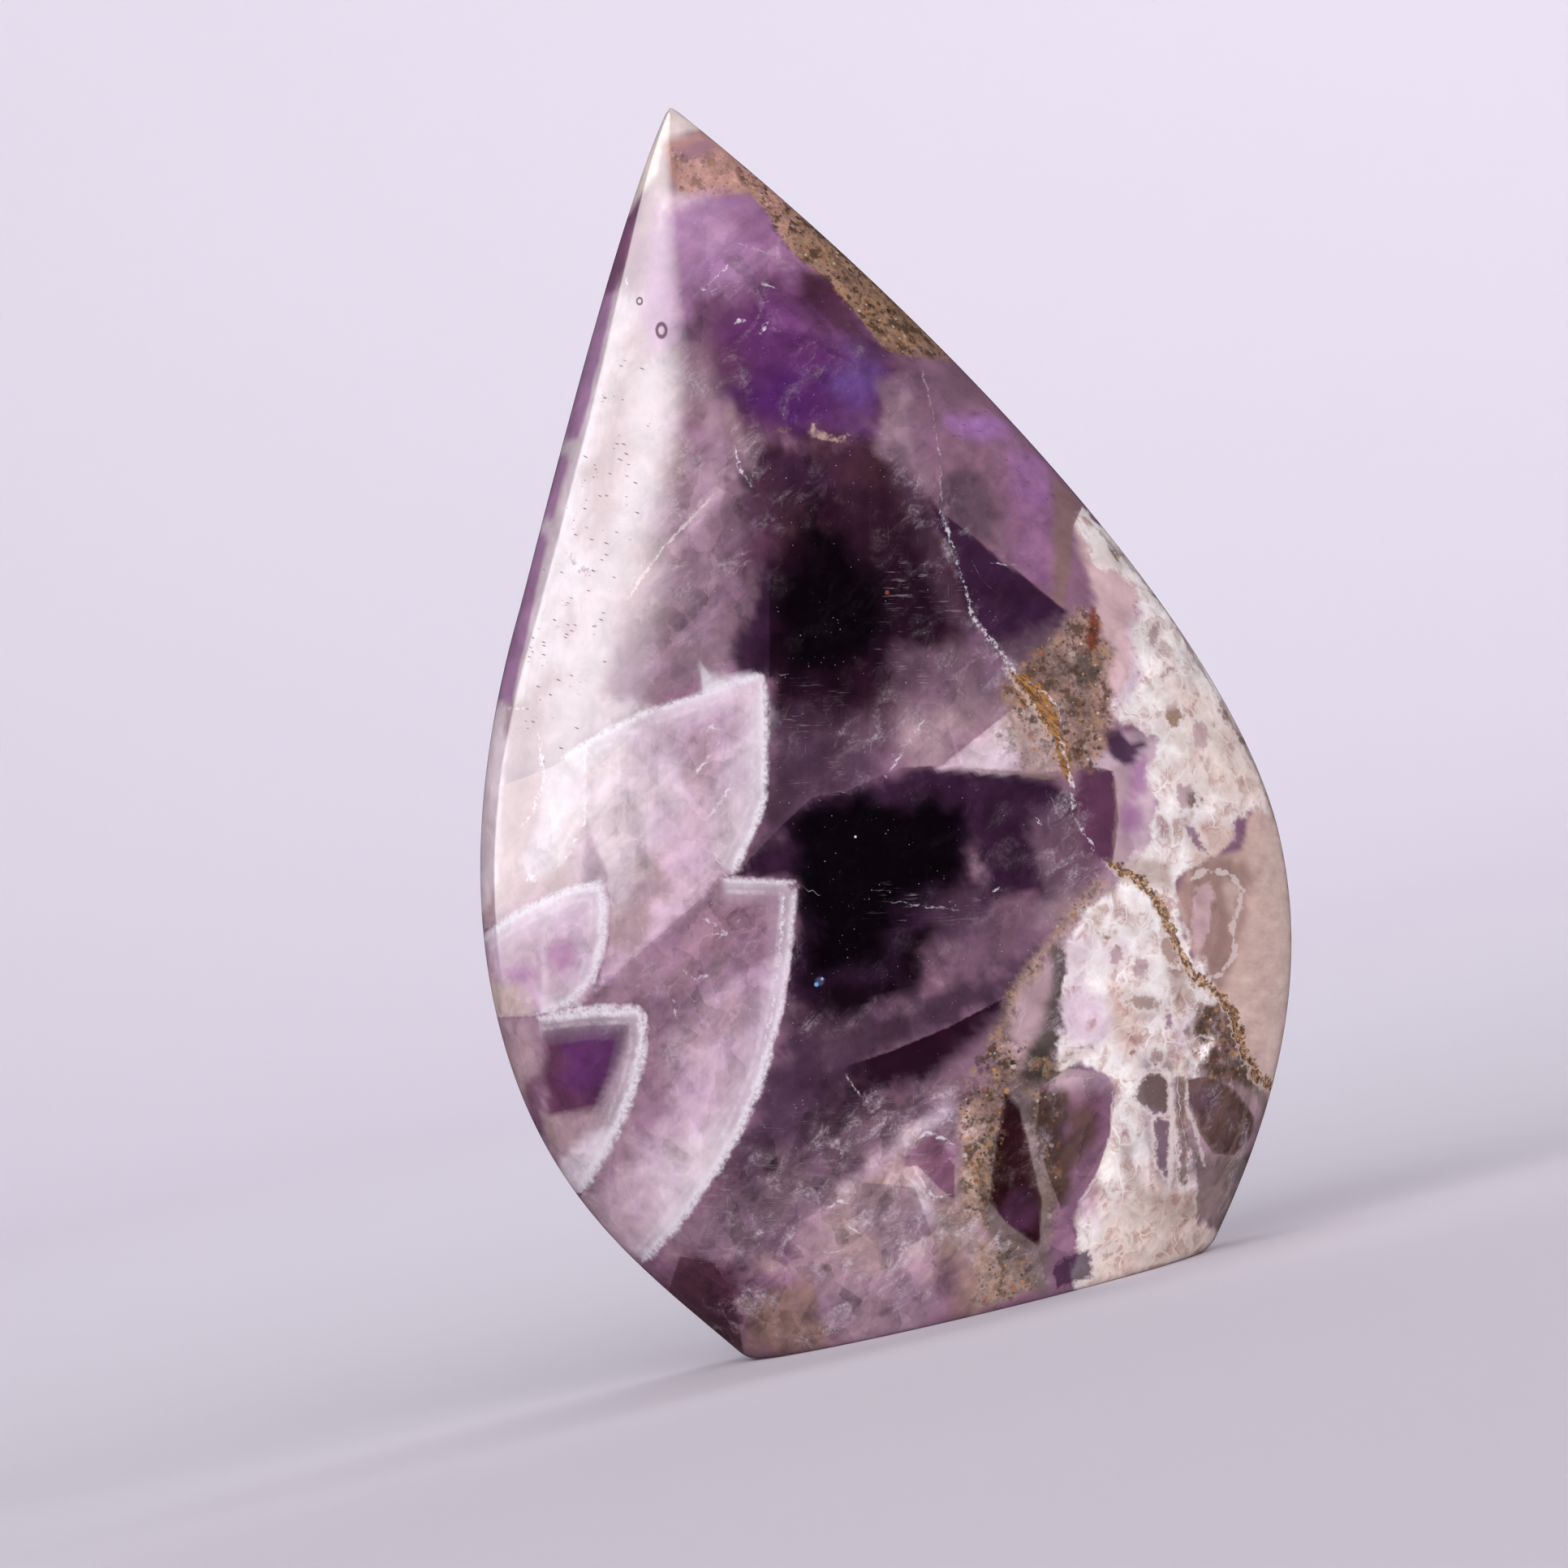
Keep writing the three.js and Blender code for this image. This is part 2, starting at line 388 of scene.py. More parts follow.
        (960, 1300), (1060, 1250), (1180, 1212), (1250, 1182), (1290, 1152), (1302, 1190), (1250, 1228),
        (1165, 1270), (1060, 1312), (960, 1345)), 0.74),
    ("dusk", 40, 1.0, area(
        (960, 1250), (1055, 1290), (1060, 1372), (1000, 1402), (920, 1450), (880, 1460), (945, 1330)), 0.8),
    ("aubergine", 40, 0.4, area((985, 1220), (1045, 1270), (1050, 1340), (990, 1370), (955, 1350))),
    ("smoke", 30, 0.3, oval(1022, 1288, 22, 36), 0.9),
    ("dusk", 40, 0.8, area(
        (945, 1345), (1000, 1370), (1090, 1350), (1090, 1380), (1040, 1400), (930, 1430)), 0.95),
    ("haze", 30, 0.8, area(
        (1120, 1360), (1195, 1310), (1200, 1400), (1130, 1400), (1085, 1440), (1060, 1430)), 1.0),
    ("smoke", 40, 1.0, area(
        (920, 1420), (1060, 1372), (1180, 1350), (1200, 1400), (1150, 1450), (1000, 1482), (900, 1510),
        (850, 1520)), 0.76),
    ("haze", 60, 0.9, area(
        (1060, 1440), (1170, 1395), (1205, 1460), (1230, 1530), (1180, 1595), (1080, 1572), (1000, 1545),
        (980, 1515)), 0.9),
    ("haze", 30, 0.9, line(30, (985, 1535), (1030, 1505), (1060, 1465)), 0.95),
    ("smoke", 20, 0.8, area((900, 1490), (960, 1490), (1000, 1510), (950, 1535), (880, 1545)), 0.85),
    ("haze", 24, 0.9, oval(1098, 1436, 50, 26, -38), 1.4),
    ("milk", 16, 0.6, line(12, (1040, 1468), (1063, 1441), (1117, 1409), (1138, 1393), (1175, 1356))),
    ("milk", 16, 0.8, line(14, (1127, 1463), (1149, 1500), (1191, 1532))),
    ("haze", 24, 0.7, line(26, (935, 1556), (1063, 1578), (1149, 1545)), 1.15),
    ("umber", 30, 0.7, area((1150, 1480), (1190, 1500), (1230, 1600), (1170, 1640), (1150, 1560)), 1.0),
    ("dusk", 16, 0.7, oval(1165, 1580, 14, 22, 20), 1.0),
    ("dusk", 16, 0.5, oval(1060, 1590, 26, 12, -10), 1.2),
    ("heather", 12, 0.8, oval(1100, 1600, 18, 11), 0.9),
    ("dove", 40, 0.8, area((790, 1530), (860, 1490), (960, 1500), (940, 1560), (850, 1570)), 0.85),
    ("wine", 34, 0.9, area(
        (820, 1575), (850, 1550), (905, 1560), (920, 1600), (905, 1665), (850, 1650)), 1.9),
    ("umber", 40, 0.9, area((915, 1600), (1000, 1570), (1050, 1605), (1020, 1668), (915, 1675)), 1.05),
    ("dove", 24, 1.0, area(
        (1000, 1562), (1120, 1572), (1170, 1600), (1130, 1645), (1030, 1665), (1012, 1620)), 0.95),
    # The speckled brown column above the base, and the pale vein that leads up from it.
    ("tan", 14, 1.0, SPECKLED_COLUMN),
    ("umber", 20, 0.8, area((1205, 1310), (1245, 1290), (1240, 1400), (1225, 1420), (1205, 1400)), 0.75),
    ("bark", 16, 0.8, line(22, (1206, 1440), (1222, 1500), (1240, 1525)), 0.8),
    ("tan", 18, 1.0, COLUMN_FOOT, 0.75),
    ("haze", 14, 1.0, area(
        (1365, 1080), (1382, 1100), (1312, 1180), (1302, 1270), (1272, 1322), (1238, 1292), (1240, 1240),
        (1290, 1172), (1330, 1112)), 1.1),
    ("tan", 10, 0.8, line(14, *COLUMN_THREAD), 0.9),
    ("soot", 14, 0.9, line(24, (1303, 1175), (1308, 1228), (1298, 1270), (1275, 1320), (1258, 1352)), 1.1),
    ("grey_green", 16, 1.0, area(
        (1250, 1335), (1300, 1300), (1330, 1320), (1302, 1400), (1300, 1500), (1290, 1600), (1240, 1560),
        (1215, 1505), (1225, 1400)), 1.25),
    ("soot", 14, 0.8, area((1262, 1300), (1290, 1290), (1312, 1320), (1290, 1340), (1268, 1330)), 0.9),
    ("grey_green", 12, 1.0, area(
        (1440, 1290), (1480, 1235), (1520, 1240), (1575, 1350), (1545, 1450), (1500, 1540), (1470, 1495),
        (1455, 1400)), 1.65),
    ("haze", 5, 0.8, grown(oval(1505, 1376, 46, 40, 40), 8)),
    ("bark", 14, 0.9, area((1475, 1236), (1518, 1240), (1545, 1330), (1500, 1338), (1470, 1300)), 0.96),
    # The agate at the right edge.
    ("agate", 8, 1.0, area(
        (1462, 1068), (1528, 1045), (1542, 995), (1620, 990), (1620, 1350), (1562, 1350), (1532, 1290),
        (1516, 1245), (1482, 1212), (1462, 1160), (1448, 1110)), 1.2),
    ("cream", 24, 0.8, line(44, (1586, 1030), (1592, 1120), (1592, 1200), (1586, 1270), (1576, 1330)), 1.16),
    ("umber", 20, 0.85, area(
        (1446, 1090), (1475, 1056), (1522, 1048), (1545, 1080), (1536, 1130), (1520, 1180), (1505, 1222),
        (1482, 1206), (1464, 1165)), 1.32),
    ("cream", 14, 0.5, area((1505, 1075), (1530, 1095), (1524, 1140), (1508, 1120))),
]

# Blocks with crisp edges in two layers, and the patches that colour each layer; one block holds a painted
# reflection.
FIRST_BLOCKS = {
    "matrix_strip": area(
        (905, 215), (930, 195), (1010, 260), (1100, 340), (1190, 425), (1172, 444), (1120, 440), (1090, 432),
        (1050, 380), (1022, 345), (985, 320), (962, 292), (945, 262), (915, 228)),
    # The right flank, where the haze of a window mirrored in the polish is painted over the crystal.
    "right_window_reflection": area(
        (1128, 445), (1172, 444), (1190, 425), (1250, 475), (1310, 560), (1340, 610), (1322, 650),
        (1320, 700), (1312, 752), (1235, 688), (1156, 628), (1158, 600), (1155, 560), (1145, 500)),
    "dark_block": area(
        (905, 1078), (960, 1020), (1000, 983), (1040, 976), (1075, 960), (1110, 946), (1200, 941),
        (1310, 957), (1340, 943), (1372, 950), (1378, 1010), (1372, 1060), (1340, 1090), (1290, 1140),
        (1250, 1200), (1248, 1224), (1165, 1267), (1090, 1298), (1050, 1311), (985, 1330), (940, 1340),
        (985, 1090)),
    "heart_edge": area((948, 715), (990, 660), (1070, 660), (1070, 920), (948, 920)),
    "pink_triangle": area((1277, 850), (1300, 880), (1318, 950), (1240, 952), (1155, 947)),
    "first_chevron": area(
        (560, 990), (680, 945), (745, 905), (790, 880), (870, 854), (941, 828), (943, 985), (929, 1025),
        (902, 1078), (885, 1082), (870, 1103), (800, 1165), (722, 1235), (735, 1210), (750, 1160),
        (752, 1110), (745, 1085), (705, 1092), (650, 1118), (590, 1150), (560, 1100)),
    "corner_chevron": area(
        (580, 1255), (655, 1252), (700, 1243), (790, 1240), (797, 1290), (785, 1340), (765, 1390),
        (735, 1440), (718, 1470), (680, 1470), (610, 1370)),
    "shard": area(
        (1238, 1343), (1256, 1362), (1270, 1420), (1284, 1480), (1281, 1538), (1240, 1507), (1218, 1480),
        (1228, 1400)),
    "violet_island": area(
        (1282, 1338), (1318, 1316), (1362, 1322), (1374, 1342), (1368, 1400), (1352, 1444), (1330, 1478),
        (1308, 1490), (1292, 1450), (1276, 1398)),
    "foot_facet": area((1122, 1428), (1143, 1404), (1176, 1434), (1176, 1480), (1156, 1462)),
    "foot_triangle": area((1063, 1457), (1127, 1463), (1148, 1521), (1090, 1549), (1053, 1503)),
    "foot_corner": area((838, 1548), (880, 1556), (905, 1600), (918, 1680), (800, 1660)),
    "foot_left": area((880, 1480), (960, 1440), (1040, 1450), (1005, 1495), (925, 1535), (860, 1540)),
    "grey_island": area(
        (1462, 1330), (1488, 1326), (1522, 1342), (1546, 1376), (1545, 1398), (1520, 1424), (1496, 1422),
        (1478, 1398), (1466, 1362)),
}
FIRST_PAINT = [
    ("khaki", 6, 1.0, FIRST_BLOCKS["matrix_strip"]),
    ("sand", 20, 0.8, area((905, 215), (930, 195), (985, 240), (975, 300), (945, 262))),
    ("olive", 20, 0.8, oval(1085, 385, 50, 26, 42), 1.05),
    ("umber", 14, 0.6, area((1120, 425), (1190, 420), (1172, 446), (1120, 442)), 0.9),
    # Painted reflection: the mirrored window's haze over the right flank, lighter than the crystal under it,
    # with its brightest violet glow.
    ("mauve", 6, 1.0, FIRST_BLOCKS["right_window_reflection"]),
    ("smoke", 30, 0.6, area((1130, 445), (1180, 450), (1200, 500), (1180, 540), (1145, 540))),
    ("smoke", 30, 0.9, area((1150, 565), (1215, 575), (1245, 690), (1150, 640)), 0.64),
    ("heather", 26, 0.8, area((1240, 560), (1295, 565), (1296, 725), (1250, 695)), 0.95),
    ("reflected_orchid", 16, 0.95, oval(1206, 526, 38, 17, 8)),
    ("dusk", 4, 0.7, oval(1200, 512, 10, 2.5, -8)),
    ("reflected_orchid", 10, 0.4, oval(1270, 590, 18, 36, -25)),
    ("umber", 10, 0.75, area((1298, 590), (1328, 612), (1324, 700), (1312, 752), (1298, 742))),
    ("aubergine", 30, 1.0, area(
        (900, 1080), (1000, 980), (1110, 945), (1215, 940), (1210, 1000), (1200, 1090), (1120, 1150),
        (1100, 1200), (980, 1225), (985, 1090)), 0.68),
    ("black_violet", 40, 1.0, area(
        (975, 1000), (1050, 984), (1150, 984), (1195, 1005), (1200, 1080), (1110, 1112), (1095, 1190),
        (1005, 1215), (980, 1100))),
    ("dusk", 24, 0.7, oval(1180, 1126, 36, 24, -30)),
    ("aubergine", 26, 1.0, area(
        (1190, 940), (1300, 955), (1335, 1000), (1332, 1080), (1290, 1110), (1215, 1112),
        (1205, 1075)), 0.7),
    ("smoke", 30, 0.6, oval(1304, 1014, 26, 24), 0.95),
    ("mauve", 26, 0.8, area((1268, 1030), (1330, 1012), (1352, 1080), (1300, 1112), (1275, 1085)), 0.6),
    ("plum", 12, 1.0, area(
        (1325, 945), (1375, 945), (1380, 1010), (1372, 1062), (1340, 1050), (1322, 1000)), 0.82),
    ("pale_lilac", 8, 1.0, FIRST_BLOCKS["pink_triangle"], 1.05),
    ("milk", 20, 0.7, area((1180, 945), (1230, 895), (1262, 880), (1270, 905), (1240, 950))),
    ("night", 40, 1.0, area((905, 720), (970, 650), (1000, 700), (990, 820), (960, 850), (905, 845)), 0.8),
    ("black_violet", 40, 1.0, area(
        (960, 730), (990, 690), (1085, 740), (1095, 785), (1050, 820), (965, 822))),
    ("tan", 20, 0.85, area((1232, 870), (1275, 850), (1310, 900), (1320, 955), (1262, 955)), 0.95),
    ("rose_milk", 10, 1.0, FIRST_BLOCKS["first_chevron"]),
    ("milk", 30, 0.7, area((905, 880), (944, 850), (944, 985), (925, 1030), (890, 1060), (880, 980)), 0.88),
    ("milk", 40, 0.6, oval(812, 960, 34, 60), 0.95),
    ("rose_milk", 26, 0.9, oval(855, 900, 62, 28, -18), 0.85),
    ("pale_lilac", 22, 0.6, oval(872, 950, 16, 40, 20), 0.92),
    ("haze", 50, 1.0, area((560, 930), (700, 900), (790, 930), (780, 1100), (650, 1130), (560, 1150)), 1.14),
    ("haze", 30, 0.9, area((745, 1195), (752, 1050), (806, 1030), (822, 1100), (800, 1165)), 0.92),
    # These two milk patches are painted highlight: the bright lower end of the window's reflection on the
    # left flank, and the pale spread beside it.
    ("milk", 14, 0.85, area(
        (668, 905), (700, 895), (728, 905), (722, 1010), (704, 1050), (680, 1075), (650, 1086), (646, 1062),
        (664, 1010), (672, 960)), 0.96),
    ("milk", 50, 0.8, area((715, 930), (800, 890), (815, 1030), (760, 1110), (715, 1080)), 1.02),
    ("dove", 6, 0.8, area((722, 1012), (735, 1040), (750, 1086), (716, 1094)), 1.1),
    ("milk", 10, 0.9, area((560, 930), (618, 900), (616, 1000), (608, 1110), (560, 1150)), 1.1),
    ("rose_milk", 24, 0.7, oval(888, 890, 34, 26), 0.78),
    ("haze", 16, 0.6, area((842, 905), (880, 900), (876, 965), (845, 972)), 1.05),
    ("dove", 10, 1.0, FIRST_BLOCKS["corner_chevron"], 1.2),
    ("haze", 14, 0.8, area((590, 1255), (650, 1255), (668, 1330), (640, 1350), (610, 1330)), 1.2),
    ("plum", 12, 0.7, area((645, 1335), (668, 1320), (672, 1400), (652, 1400)), 1.3),
    ("plum", 14, 1.0, area(
        (668, 1262), (776, 1252), (774, 1290), (754, 1330), (728, 1368), (672, 1384)), 1.05),
    ("deep_vivid", 30, 0.5, area((690, 1275), (770, 1262), (765, 1310), (735, 1345), (690, 1340)), 1.2),
    ("haze", 14, 1.0, area((668, 1372), (766, 1372), (742, 1425), (700, 1440), (676, 1420)), 1.05),
    ("milk", 14, 0.9, area(
        (690, 1425), (720, 1405), (765, 1375), (742, 1440), (720, 1475), (690, 1470)), 1.1),
    ("plum", 8, 0.8, grown(FIRST_BLOCKS["foot_facet"]), 1.25),
    ("dove", 10, 0.7, grown(FIRST_BLOCKS["foot_triangle"]), 0.78),
    ("dove", 14, 0.7, grown(FIRST_BLOCKS["foot_left"]), 0.55),
    ("wine", 14, 0.8, grown(FIRST_BLOCKS["foot_corner"]), 1.2),
    ("shard", 5, 1.0, FIRST_BLOCKS["shard"]),
    ("plum", 14, 0.8, oval(1256, 1495, 24, 30, 30), 0.6),
    ("mauve", 6, 1.0, FIRST_BLOCKS["violet_island"], 0.9),
    ("pale_lilac", 26, 0.8, area(
        (1285, 1310), (1330, 1306), (1385, 1324), (1376, 1352), (1330, 1340), (1295, 1350)), 0.78),
    ("bark", 22, 0.95, area(
        (1268, 1340), (1314, 1345), (1322, 1400), (1312, 1495), (1285, 1495), (1268, 1400)), 0.45),
    ("plum", 26, 0.7, oval(1350, 1368, 14, 34, 20), 1.15),
    ("bark", 18, 0.9, oval(1326, 1405, 14, 52, 24), 0.7),
    ("mauve", 20, 0.7, oval(1354, 1440, 12, 30, 30), 0.95),
    ("bark", 6, 1.0, FIRST_BLOCKS["grey_island"], 0.85),
    ("smoke", 24, 0.6, oval(1486, 1360, 24, 18, 30), 0.9),
]

SECOND_BLOCKS = {
    "dark_band": area(
        (1000, 1332), (1050, 1311), (1090, 1298), (1165, 1267), (1248, 1224), (1256, 1262), (1225, 1330),
        (1200, 1420), (1110, 1440), (1010, 1440)),
    "second_chevron": area(
        (722, 1235), (800, 1165), (870, 1103), (885, 1082), (983, 1087), (975, 1180), (966, 1245),
        (941, 1330), (911, 1400), (876, 1455), (836, 1510), (790, 1560), (700, 1510), (718, 1470),
        (735, 1440), (765, 1390), (785, 1340), (797, 1290), (797, 1250), (790, 1240)),
    "milky_chevron": area(
        (570, 1165), (612, 1140), (650, 1118), (705, 1092), (745, 1085), (752, 1110), (750, 1160),
        (735, 1210), (722, 1235), (700, 1243), (655, 1252), (580, 1255)),
}
SECOND_PAINT = [
    ("night", 50, 1.0, area(
        (1048, 1270), (1165, 1200), (1250, 1160), (1239, 1258), (1208, 1288), (1168, 1322), (1100, 1350),
        (1052, 1350)), 0.9),
    ("smoke", 24, 0.9, area((1160, 1322), (1232, 1264), (1222, 1330), (1200, 1360), (1140, 1360)), 1.2),
    ("dove", 10, 1.0, SECOND_BLOCKS["second_chevron"], 1.07),
    ("lilac", 34, 0.6, line(30, (955, 1110), (950, 1180), (942, 1250)), 0.95),
    ("mauve", 30, 0.8, oval(930, 1140, 54, 50)),
    ("smoke", 24, 0.8, area(
        (715, 1240), (800, 1165), (870, 1105), (905, 1150), (862, 1235), (800, 1255), (745, 1240)), 1.62),
    ("soot", 10, 0.5, oval(742, 1222, 22, 10, -30)),
    ("rose_milk", 34, 0.9, area(
        (800, 1310), (860, 1235), (960, 1190), (965, 1260), (905, 1400), (840, 1490), (790, 1530),
        (770, 1480), (792, 1400)), 0.95),
    ("dove", 30, 0.8, area(
        (800, 1290), (850, 1250), (930, 1215), (925, 1260), (860, 1300), (815, 1370)), 1.08),
    ("smoke", 30, 0.8, oval(822, 1244, 34, 22, -20), 1.05),
    ("milk", 30, 0.7, area(
        (800, 1440), (850, 1400), (900, 1370), (890, 1430), (845, 1500), (800, 1540)), 1.08),
    ("mauve", 18, 0.7, area((792, 1285), (815, 1260), (825, 1340), (800, 1400), (775, 1400)), 1.1),
    ("pale_lilac", 26, 0.7, area((715, 1480), (770, 1440), (815, 1460), (800, 1550), (750, 1530)), 1.02),
    ("rose_milk", 10, 1.0, SECOND_BLOCKS["milky_chevron"], 0.97),
    ("rose_milk", 22, 0.8, area((650, 1200), (700, 1195), (720, 1225), (660, 1245))),
    ("cream", 24, 0.9, area((590, 1200), (640, 1215), (650, 1250), (600, 1260)), 1.05),
    ("heather", 20, 0.8, oval(690, 1180, 20, 17), 1.05),
    ("lilac", 14, 0.8, oval(640, 1198, 22, 12)),
    ("frost", 8, 0.25, line(7, (668, 1100), (671, 1180), (672, 1250))),
]

# Single crystals and stains with crisp edges: colour, lightness and shape.
CELLS = [
    ("lace", 1.05, oval(1362, 688, 18, 16, 20)),
    ("haze", 1.1, area((1414, 776), (1424, 764), (1430, 776), (1424, 798), (1414, 792))),
    ("haze", 0.95, oval(1440, 826, 4, 14, 40)),
    ("dusty_pink", 1.0, area((1436, 868), (1450, 862), (1458, 884), (1450, 900), (1438, 892))),
    ("olive", 1.1, oval(1453, 884, 7, 5, -20)),
    ("dusty_pink", 0.9, area((1472, 886), (1484, 890), (1492, 910), (1484, 926), (1472, 920), (1468, 902))),
    ("haze", 1.1, area((1448, 965), (1472, 968), (1476, 992), (1452, 1000))),
    ("bark", 1.0, oval(1480, 986, 5, 4)),
    ("mauve", 1.05, area((1456, 1012), (1474, 1022), (1488, 1052), (1470, 1042))),
    ("haze", 1.15, area((1368, 1168), (1380, 1164), (1386, 1178), (1378, 1192), (1368, 1186))),
    ("olive", 1.0, oval(1358, 1152, 9, 4, 15)),
    ("haze", 1.0, oval(1405, 1192, 10, 13, 10)),
    ("tan", 0.95, oval(1443, 1172, 12, 18, -20)),
    ("rust", 1.3, oval(1470, 1210, 5, 5)),
    ("tan", 0.9, oval(1410, 1235, 20, 9, 8)),
    ("mauve", 1.0, oval(1441, 1258, 6, 13)),
    ("rust", 1.2, oval(1395, 1297, 4, 4)),
    ("tan", 0.85, area((1303, 1317), (1311, 1294), (1338, 1298))),
    ("tan", 0.95, oval(1425, 1300, 8, 10)),
    ("bark", 0.7, area(
        (1396, 1354), (1404, 1334), (1420, 1320), (1438, 1326), (1444, 1348), (1438, 1372), (1420, 1372))),
    ("smoke", 0.95, area((1422, 1376), (1441, 1384), (1439, 1452), (1424, 1432))),
    ("umber", 0.8, line(12, (1455, 1330), (1455, 1376), (1458, 1410), (1458, 1456))),
    ("plum", 1.0, area((704, 682), (712, 698), (740, 700), (722, 708), (706, 700))),
    ("aubergine", 1.1, area((1296, 1560), (1318, 1545), (1342, 1540), (1348, 1572), (1300, 1590))),
    ("peach", 0.75, area(
        (997, 533), (1002, 522), (1008, 532), (1030, 538), (1047, 537), (1038, 545), (1018, 544),
        (1004, 540))),
    ("amber", 1.0, area((1258, 842), (1275, 848), (1300, 868), (1309, 896), (1300, 906), (1276, 884))),
    ("amber", 0.8, area((1300, 912), (1310, 910), (1320, 936), (1318, 966), (1308, 946))),
    ("olive", 1.1, oval(966, 531, 9, 4)),
    ("dusty_pink", 1.08, area(
        (1472, 1092), (1490, 1084), (1500, 1110), (1492, 1146), (1476, 1180), (1466, 1150))),
    ("umber", 1.35, area((1502, 1116), (1514, 1124), (1512, 1164), (1496, 1196), (1486, 1190), (1500, 1156))),
    ("umber", 0.9, oval(1386, 681, 10, 4, 52)),
    ("umber", 0.95, oval(1426, 735, 12, 4, 52)),
    ("umber", 0.95, oval(1508, 880, 12, 5, 62)),
    ("umber", 0.9, oval(1531, 912, 10, 5, 62)),
    ("soot", 1.2, oval(1343, 1103, 5, 5)),
    ("soot", 1.2, oval(1312, 828, 5, 6)),
    ("soot", 1.2, oval(1332, 838, 4, 4)),
    ("rust", 0.9, area((1344, 742), (1356, 760), (1350, 800), (1336, 806), (1340, 770))),
]

# Soft shading over the lace.
LACE_TINTS = [
    ("cream", 60, 0.8, area((1440, 830), (1530, 880), (1580, 980), (1540, 1010), (1450, 960)), 1.0),
    ("peach", 24, 0.85, area((1462, 1050), (1480, 1015), (1530, 1010), (1540, 1060), (1480, 1080)), 0.9),
    ("pale_lilac", 20, 0.9, area(
        (1330, 690), (1360, 700), (1400, 735), (1392, 790), (1405, 830), (1372, 880), (1352, 800))),
    ("pale_lilac", 24, 0.8, area(
        (1385, 890), (1412, 890), (1412, 960), (1405, 1040), (1395, 1050), (1388, 980)), 1.1),
    ("pale_lilac", 22, 0.5, oval(1322, 1172, 20, 34, 10), 1.1),
    ("pale_lilac", 22, 0.9, oval(1334, 1252, 34, 34, -10), 1.0),
    ("pale_lilac", 16, 0.6, oval(1376, 1176, 14, 20, 25)),
    ("haze", 16, 0.9, area((1316, 1480), (1350, 1440), (1366, 1466), (1350, 1500), (1326, 1500))),
    ("peach", 20, 0.7, area(
        (1366, 1208), (1386, 1212), (1410, 1262), (1402, 1316), (1380, 1296), (1368, 1250))),
    ("tan", 18, 0.8, area((1425, 1150), (1456, 1150), (1470, 1200), (1462, 1240), (1440, 1230))),
    ("tan", 20, 0.5, oval(1400, 1240, 34, 18, 10)),
    ("cream", 40, 0.9, area((1360, 1480), (1420, 1440), (1500, 1480), (1500, 1560), (1340, 1600))),
    ("tan", 30, 0.7, oval(1455, 1490, 34, 22, -10)),
    ("umber", 16, 0.4, line(14, (1386, 1420), (1396, 1460), (1420, 1480))),
    ("haze", 16, 0.8, area((1405, 1300), (1446, 1296), (1452, 1460), (1424, 1455), (1410, 1380)), 0.85),
    ("haze", 20, 0.6, area((1440, 1262), (1480, 1250), (1482, 1290), (1450, 1310)), 1.1),
    ("tan", 16, 0.8, area((1368, 1066), (1440, 1060), (1448, 1100), (1420, 1092), (1390, 1085))),
    ("umber", 12, 0.5, line(10, (1442, 1316), (1450, 1380), (1448, 1450))),
]

# The lace quartz on the right. Its edge wanders as the patches' edges do.
LACE_ZONE = area(
    (1316, 618), (1345, 640), (1440, 680), (1520, 800), (1580, 920), (1620, 1000), (1560, 1000),
    (1530, 1008), (1520, 1048), (1470, 1066), (1452, 1085), (1450, 1110), (1470, 1165), (1482, 1205),
    (1500, 1228), (1475, 1242), (1462, 1290), (1498, 1280), (1498, 1292), (1472, 1325), (1452, 1332),
    (1456, 1380), (1470, 1440), (1482, 1500), (1510, 1550), (1460, 1580), (1330, 1610), (1322, 1535),
    (1322, 1498), (1345, 1445), (1356, 1400), (1370, 1350), (1365, 1328), (1330, 1310), (1298, 1318),
    (1308, 1285), (1312, 1230), (1310, 1170), (1342, 1112), (1380, 1087), (1410, 1050), (1424, 1000),
    (1414, 960), (1422, 915), (1385, 897), (1368, 870), (1390, 845), (1400, 815), (1390, 780), (1405, 738),
    (1375, 700), (1345, 700), (1330, 660))

